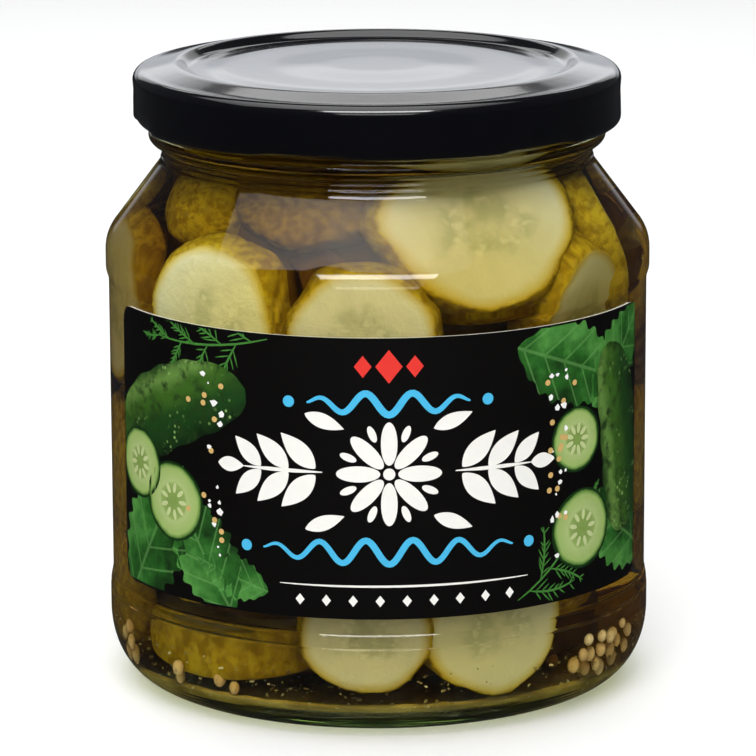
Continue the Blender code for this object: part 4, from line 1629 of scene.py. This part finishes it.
class PICKLE_JAR_OT_bits(Operator):
    """Small flecks of seed and skin near the floor, and the fine pulp that has settled on it"""

    bl_idname = "pickle_jar.bits"
    bl_label = "Small bits"

    def execute(self, context):
        look = looks().seeds
        draw = random.Random(31)
        shape, faces = ball(1)
        heap = Heap()
        for _ in range(look.bit_count):
            height = FLOOR_HEIGHT + 1.2 + BIT_RISE * draw.random() ** 1.6
            reach = cavity_radius(height) - 0.8 - BIT_SPREAD * draw.random() ** 1.6
            spot = on_cylinder(draw.uniform(-180, 180), reach, height)
            size = draw.uniform(*BIT_SIZES)
            long = Vector((size * draw.uniform(0.8, 1.8), size * 0.45, size * 0.6))
            turn = Matrix.Rotation(draw.uniform(0, math.tau), 3, "Z")
            turn = turn @ Matrix.Rotation(draw.uniform(-0.6, 0.6), 3, "X")
            points = []
            for p in shape:
                rough = Vector(a * b * draw.uniform(0.7, 1.2) for a, b in zip(p, long))
                points.append(spot + turn @ rough)
            heap.add(points, faces, tone=[draw.random()] * len(points))
        heap.piece("brine_bits", bit_material(), "mustard_seed")
        self.pulp()
        return {"FINISHED"}

    def pulp(self):
        """A thin uneven layer on the glass floor, which thins out up the heel."""
        under = [p for p in inner_wall(4)[::-1] if p[1] < PULP_TOP]
        under = [(max(0.0, r - PULP_GAP) if r > 1 else 0.0, z + PULP_GAP) for r, z in under]
        over = []
        for radius, height in under:
            thinner = 0.7 * (radius / FLOOR_RADIUS) ** 8 / 4
            over.append((radius * 0.985, height + PULP_DEPTH * (1 - thinner)))

        def shift(angles, index, radii, heights):
            """Lumps on the upper side only."""
            if index < len(under):
                return radii, heights
            lumps = lumps_round(angles, radii[0], 0, 0.35)
            return radii, heights + PULP_DEPTH * 0.5 * lumps

        verts, faces = turned_mesh(under + over[::-1], 144, shift)
        add_piece("settled_pulp", verts, faces, pulp_material())


class PICKLE_JAR_OT_lid(Operator):
    """The lacquered steel lid, with its curl pressed in at the lugs"""

    bl_idname = "pickle_jar.lid"
    bl_label = "Lid"

    def execute(self, context):
        curl_centre = (LID_RADIUS - CURL_RADIUS, SKIRT_BOTTOM + CURL_RADIUS)
        outline = self.top() + self.side(curl_centre) + self.underside()
        curl_top = SKIRT_BOTTOM + 2.6 * CURL_RADIUS

        def shift(angles, index, radii, heights):
            """Presses the curl inwards at each lug."""
            if radii[0] < LID_RADIUS - 4 or heights[0] > curl_top + 2:
                return radii, heights
            degrees = np.degrees(angles) - FIRST_LUG_ANGLE
            away = np.abs((degrees + 180 / LUGS) % (360 / LUGS) - 180 / LUGS)
            press = np.clip((LUG_HALF_WIDTH + 2 - away) / 4.0, 0, 1)
            press = press * press * (3 - 2 * press)
            low = np.clip((curl_top - heights) / (curl_top - SKIRT_BOTTOM), 0, 1)
            return radii - LUG_DEPTH * press * low**1.4, heights

        verts, faces = turned_mesh(outline, LID_SEGMENTS, shift)
        lacquer = lacquer_material(looks().lid)
        add_piece("lid_shell", verts, faces, lacquer, ["lid"])
        return {"FINISHED"}

    def top(self):
        """The lid's top, from its middle to the round corner."""
        step_height = LID_PANEL_HEIGHT + PANEL_STEP
        middle = (0, step_height + BUTTON_STEP)
        corner = LID_RADIUS - LID_CORNER_RADIUS
        return [middle] + legs(
            middle,
            (straight, (BUTTON_RADIUS - 5, step_height + BUTTON_STEP), 3),
            (eased_height, (BUTTON_RADIUS + 6, step_height), 14),
            (straight, (PANEL_STEP_RADIUS - 1, step_height), 4),
            (eased_height, (PANEL_STEP_RADIUS + 3, LID_PANEL_HEIGHT), 8),
            (straight, (PANEL_EDGE_RADIUS - 0.9, LID_PANEL_HEIGHT), 3),
            (eased_height, (LID_RING_RADIUS, LID_HEIGHT), 9),
            (straight, (LID_RING_RADIUS + 0.8, LID_HEIGHT - 0.06), 2),
            (straight, (corner - 0.4, LID_SHOULDER_HEIGHT + 0.06), 6),
        )

    def side(self, curl_centre):
        """The round corner, the skirt and the curl."""
        corner_height = LID_SHOULDER_HEIGHT - LID_CORNER_RADIUS
        corner_centre = (LID_RADIUS - LID_CORNER_RADIUS, corner_height)
        points = arc(corner_centre, LID_CORNER_RADIUS, 84, 0, 10)
        points += straight(points[-1], (LID_RADIUS - 0.12, 106), 2)
        points += straight(points[-1], (LID_RADIUS, curl_centre[1] + 0.6), 4)
        return points + arc(curl_centre, CURL_RADIUS, 0, -180, 12)

    def underside(self):
        """The inside of the sheet, from the curl back to the middle."""
        sheet = LID_SHEET
        step_height = LID_PANEL_HEIGHT + PANEL_STEP
        corner_height = LID_SHOULDER_HEIGHT - LID_CORNER_RADIUS
        return [
            (LID_RADIUS - sheet - 0.6, SKIRT_BOTTOM + 2.1 * CURL_RADIUS),
            (LID_RADIUS - sheet, SKIRT_BOTTOM + 2.7 * CURL_RADIUS),
            (LID_RADIUS - sheet, corner_height),
            (LID_RADIUS - LID_CORNER_RADIUS, LID_SHOULDER_HEIGHT - sheet),
            (LID_RING_RADIUS + 0.5, LID_HEIGHT - sheet),
            (PANEL_EDGE_RADIUS, LID_PANEL_HEIGHT - sheet),
            (PANEL_STEP_RADIUS, LID_PANEL_HEIGHT - sheet),
            (BUTTON_RADIUS, step_height - sheet),
            (0, step_height + BUTTON_STEP - sheet),
        ]


class PICKLE_JAR_OT_label(Operator):
    """The paper label: dark printed face, white back and cut edge"""

    bl_idname = "pickle_jar.label"
    bl_label = "Label paper"

    def execute(self, context):
        columns = self.places()
        rows = 12
        verts, faces = [], []
        for u in columns:
            trim = label_trim(u)
            low, high = trim, LABEL_HEIGHT - trim
            for lift in (0.0, LABEL_INNER_RADIUS - PRINT_RADIUS):
                for k in range(rows + 1):
                    verts.append(on_label(u, low + (high - low) * k / rows, lift))
        stride = 2 * (rows + 1)
        front, edge = [], []
        for c in range(len(columns) - 1):
            a, b = c * stride, (c + 1) * stride
            for k in range(rows):
                front.append((a + k, b + k, b + k + 1, a + k + 1))
                back = rows + 1 + k
                edge.append((a + back, a + back + 1, b + back + 1, b + back))
            top, back_top = rows, 2 * rows + 1
            edge.append((a, a + rows + 1, b + rows + 1, b))
            edge.append((a + top, b + top, b + back_top, a + back_top))
        for start, order in ((0, 1), ((len(columns) - 1) * stride, -1)):
            for k in range(rows):
                face = (start + k, start + k + 1, start + rows + 2 + k, start + rows + 1 + k)
                edge.append(face[::order])
        ground = ink_material("ink_ground", looks().label.ground, 0.36)
        paper = [ground, plain_paper_material()]
        piece = add_piece("label_paper", verts, front + edge, paper, ["label"])
        for index, polygon in enumerate(piece.data.polygons):
            polygon.material_index = 0 if index < len(front) else 1
        return {"FINISHED"}

    def places(self):
        """Places along the label, closer together at its round corners."""
        corner = LABEL_HALF_LENGTH - LABEL_CORNER_RADIUS
        even = [corner * (2 * i / 160 - 1) for i in range(161)]
        ends = [corner + LABEL_CORNER_RADIUS * t for t in (0.3, 0.55, 0.75, 0.9, 0.97, 0.999)]
        return [-e for e in reversed(ends)] + even + ends


class PICKLE_JAR_OT_print(Operator):
    """The label's print: gherkins, leaves, dill and plain ornaments"""

    bl_idname = "pickle_jar.print"
    bl_label = "Label print"

    def execute(self, context):
        inks = looks().label
        self.plants(inks)
        self.ornaments(inks)
        self.specks(inks)
        return {"FINISHED"}

    def plants(self, inks):
        """Plants at both ends of the label."""
        draw = random.Random(3)
        leaves = [
            leaf((-27.5, 6.0), 7.6, 3.8, 164),
            leaf((-46, 10.5), 15.5, 8.4, 58),
            leaf((-34, 10), 13, 6.8, 122),
            leaf((50, 41), 12, 6.4, 42),
            leaf((37, 41), 14, 7.2, -20),
            leaf((49, 10.5), 13.5, 7.0, 150),
        ]
        add_print("print_leaves", leaves, 0.012, leaf_ink(inks))
        sprigs = dill((-20, 48), 196, 24, draw) + dill((24, 1.5), 28, 22, draw)
        add_print("print_dill", sprigs, 0.03, ink_material("ink_dill", (0.045, 0.2, 0.025)))
        gherkins = [
            gherkin((-41.5, 33.5), 18, 7.2, 24, -2.0),
            gherkin((50.5, 26.5), 17.5, 6.8, 99, 1.8),
        ]
        add_print("print_gherkins", gherkins, 0.05, gherkin_ink(inks))
        rounds = [
            oval((-40.5, 17), 7.3, 7.0),
            oval((-50.5, 22), 6.6, 6.3),
            oval((38.5, 12), 7.4, 7.1),
            oval((37, 28), 6.0, 5.8),
        ]
        add_print("print_rounds", rounds, 0.072, round_ink(inks))
        seeds = self.seeds_of(rounds)
        add_print("print_round_seeds", seeds, 0.092, ink_material("ink_seed", (0.5, 0.58, 0.26)))

    def seeds_of(self, rounds):
        """A ring of pale seeds on each printed round."""
        seeds = []
        for each in rounds:
            for k in range(9):
                a = math.tau * k / 9 + each.centre[0]
                reach = 0.33 * each.half[0]
                spot = (each.centre[0] + reach * math.cos(a), each.centre[1] + reach * math.sin(a))
                seeds.append(oval(spot, 0.95, 0.42, math.degrees(a), 14))
        return seeds

    def ornaments(self, inks):
        """The middle of the label: large white ornaments, blue flourishes, red diamonds."""
        white = self.rosette((1, 25.4), 9.4)
        for side in (-1, 1):
            white += self.sprays(side)
        white += [stroke(wave((-18, 5.8), (26, 5.8), 0.0, 1), 0.4)]
        white += [diamond((4 + 4.6 * k, 3.2), 0.8, 1.0) for k in range(-4, 5)]
        add_print("print_white", white, 0.012, ink_material("ink_white", inks.white))
        blue = [stroke(wave((-13, 37.6), (15, 37.6), 1.9, 3.5), 1.25)]
        blue += [oval((1 + side * 17.2, 37.6), 1.0, 1.0, 0, 18) for side in (-1, 1)]
        blue += [stroke(wave((-21, 11.8), (23, 11.8), 2.1, 5.5, 110), 1.15)]
        blue += [oval((1 + side * 25.2, 11.8), 1.0, 1.0, 0, 18) for side in (-1, 1)]
        add_print("print_blue", blue, 0.03, ink_material("ink_blue", inks.blue))
        red = [diamond((1, 44), 2.3, 2.9)] + [diamond((x, 44), 1.5, 1.9) for x in (-3.4, 5.4)]
        add_print("print_red", red, 0.012, ink_material("ink_red", inks.red))

    def rosette(self, centre, radius):
        """A plain carved rosette: eight long petals round a dot, and eight short ones between."""
        shapes = [oval(centre, 0.11 * radius, 0.11 * radius, 0, 18)]
        for k in range(16):
            a = math.tau * k / 16
            reach, long, wide = ((0.56, 0.4, 0.15), (0.8, 0.16, 0.07))[k % 2]
            x, y = reach * radius * math.cos(a), reach * radius * math.sin(a)
            spot = (centre[0] + x, centre[1] + y)
            shapes.append(oval(spot, long * radius, wide * radius, math.degrees(a), 26))
        return shapes

    def sprays(self, side):
        """A stem with pairs of leaves and a bud, on one side of the rosette."""
        shapes = [stroke([(1 + side * x, 25.6) for x in (11.4, 16.0, 21.0, 25.6)], 0.7)]
        for k, (long, wide) in enumerate(((4.2, 1.8), (4.0, 1.7), (3.4, 1.5))):
            for up in (-1, 1):
                spot = (1 + side * (15.6 + 4.6 * k), 25.6 + up * (3.5 - 0.4 * k))
                shapes.append(leaf(spot, long, wide, side * up * 44 + (180 if side < 0 else 0), 0))
        shapes.append(leaf((1 + side * 28.2, 25.6), 2.6, 1.3, 0, 0))
        for x, y, turn in ((11.0, 34.4, 20), (11.0, 16.8, -20)):
            shapes.append(leaf((1 + side * x, y), 3.6, 1.3, side * turn, 0))
        return shapes

    def specks(self, inks):
        """Loose salt flakes and mustard seeds scattered between the plants."""
        draw = random.Random(17)
        flakes, dots = [], []
        for _ in range(34):
            side = draw.choice((-1, 1))
            spot = (side * draw.uniform(29.5, 34) + 1, draw.uniform(8, 42))
            size = draw.uniform(0.25, 0.75)
            points = []
            for a in (0.2, 1.4, 2.9, 4.2, 5.3):
                x = size * draw.uniform(0.6, 1.3) * math.cos(a)
                points.append((x, size * draw.uniform(0.6, 1.3) * math.sin(a)))
            flakes.append(Shape(points, spot))
        for _ in range(26):
            side = draw.choice((-1, 1))
            spot = (side * draw.uniform(29, 37), draw.uniform(10, 40))
            dots.append(oval(spot, 0.55, 0.52, 0, 14))
        add_print("print_flakes", flakes, 0.1, ink_material("ink_flake", (0.85, 0.85, 0.83)))
        add_print("print_dots", dots, 0.1, ink_material("ink_mustard", (0.62, 0.4, 0.13)))


OPERATORS = (
    PICKLE_JAR_OT_stage,
    PICKLE_JAR_OT_glass,
    PICKLE_JAR_OT_brine,
    PICKLE_JAR_OT_slices,
    PICKLE_JAR_OT_core,
    PICKLE_JAR_OT_seeds,
    PICKLE_JAR_OT_bits,
    PICKLE_JAR_OT_lid,
    PICKLE_JAR_OT_label,
    PICKLE_JAR_OT_print,
)


class VIEW3D_PT_pickle_jar(Panel):
    """Lists the jar's pieces"""

    bl_idname = "VIEW3D_PT_pickle_jar"
    bl_label = "Pickle jar"
    bl_space_type = "VIEW_3D"
    bl_region_type = "UI"
    bl_category = "Pickle jar"

    def draw(self, context):
        for operator in OPERATORS:
            self.layout.operator(operator.bl_idname)


CLASSES = (
    GlassSettings,
    BrineSettings,
    SliceSettings,
    SeedSettings,
    LidSettings,
    LabelSettings,
    StageSettings,
    JarSettings,
    *OPERATORS,
    VIEW3D_PT_pickle_jar,
)


def register():
    """Adds the jar's settings, operators and panel."""
    for each in CLASSES:
        bpy.utils.register_class(each)
    bpy.types.Scene.pickle_jar = PointerProperty(type=JarSettings)


def unregister():
    """Takes them out again."""
    del bpy.types.Scene.pickle_jar
    for each in reversed(CLASSES):
        bpy.utils.unregister_class(each)


def main():
    """Builds the jar on its stage."""
    register()
    bpy.ops.pickle_jar.stage()
    bpy.ops.pickle_jar.glass()
    bpy.ops.pickle_jar.brine()
    bpy.ops.pickle_jar.slices()
    bpy.ops.pickle_jar.core()
    bpy.ops.pickle_jar.seeds()
    bpy.ops.pickle_jar.bits()
    bpy.ops.pickle_jar.lid()
    bpy.ops.pickle_jar.label()
    bpy.ops.pickle_jar.print()
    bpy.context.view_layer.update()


if __name__ == "__main__":
    main()
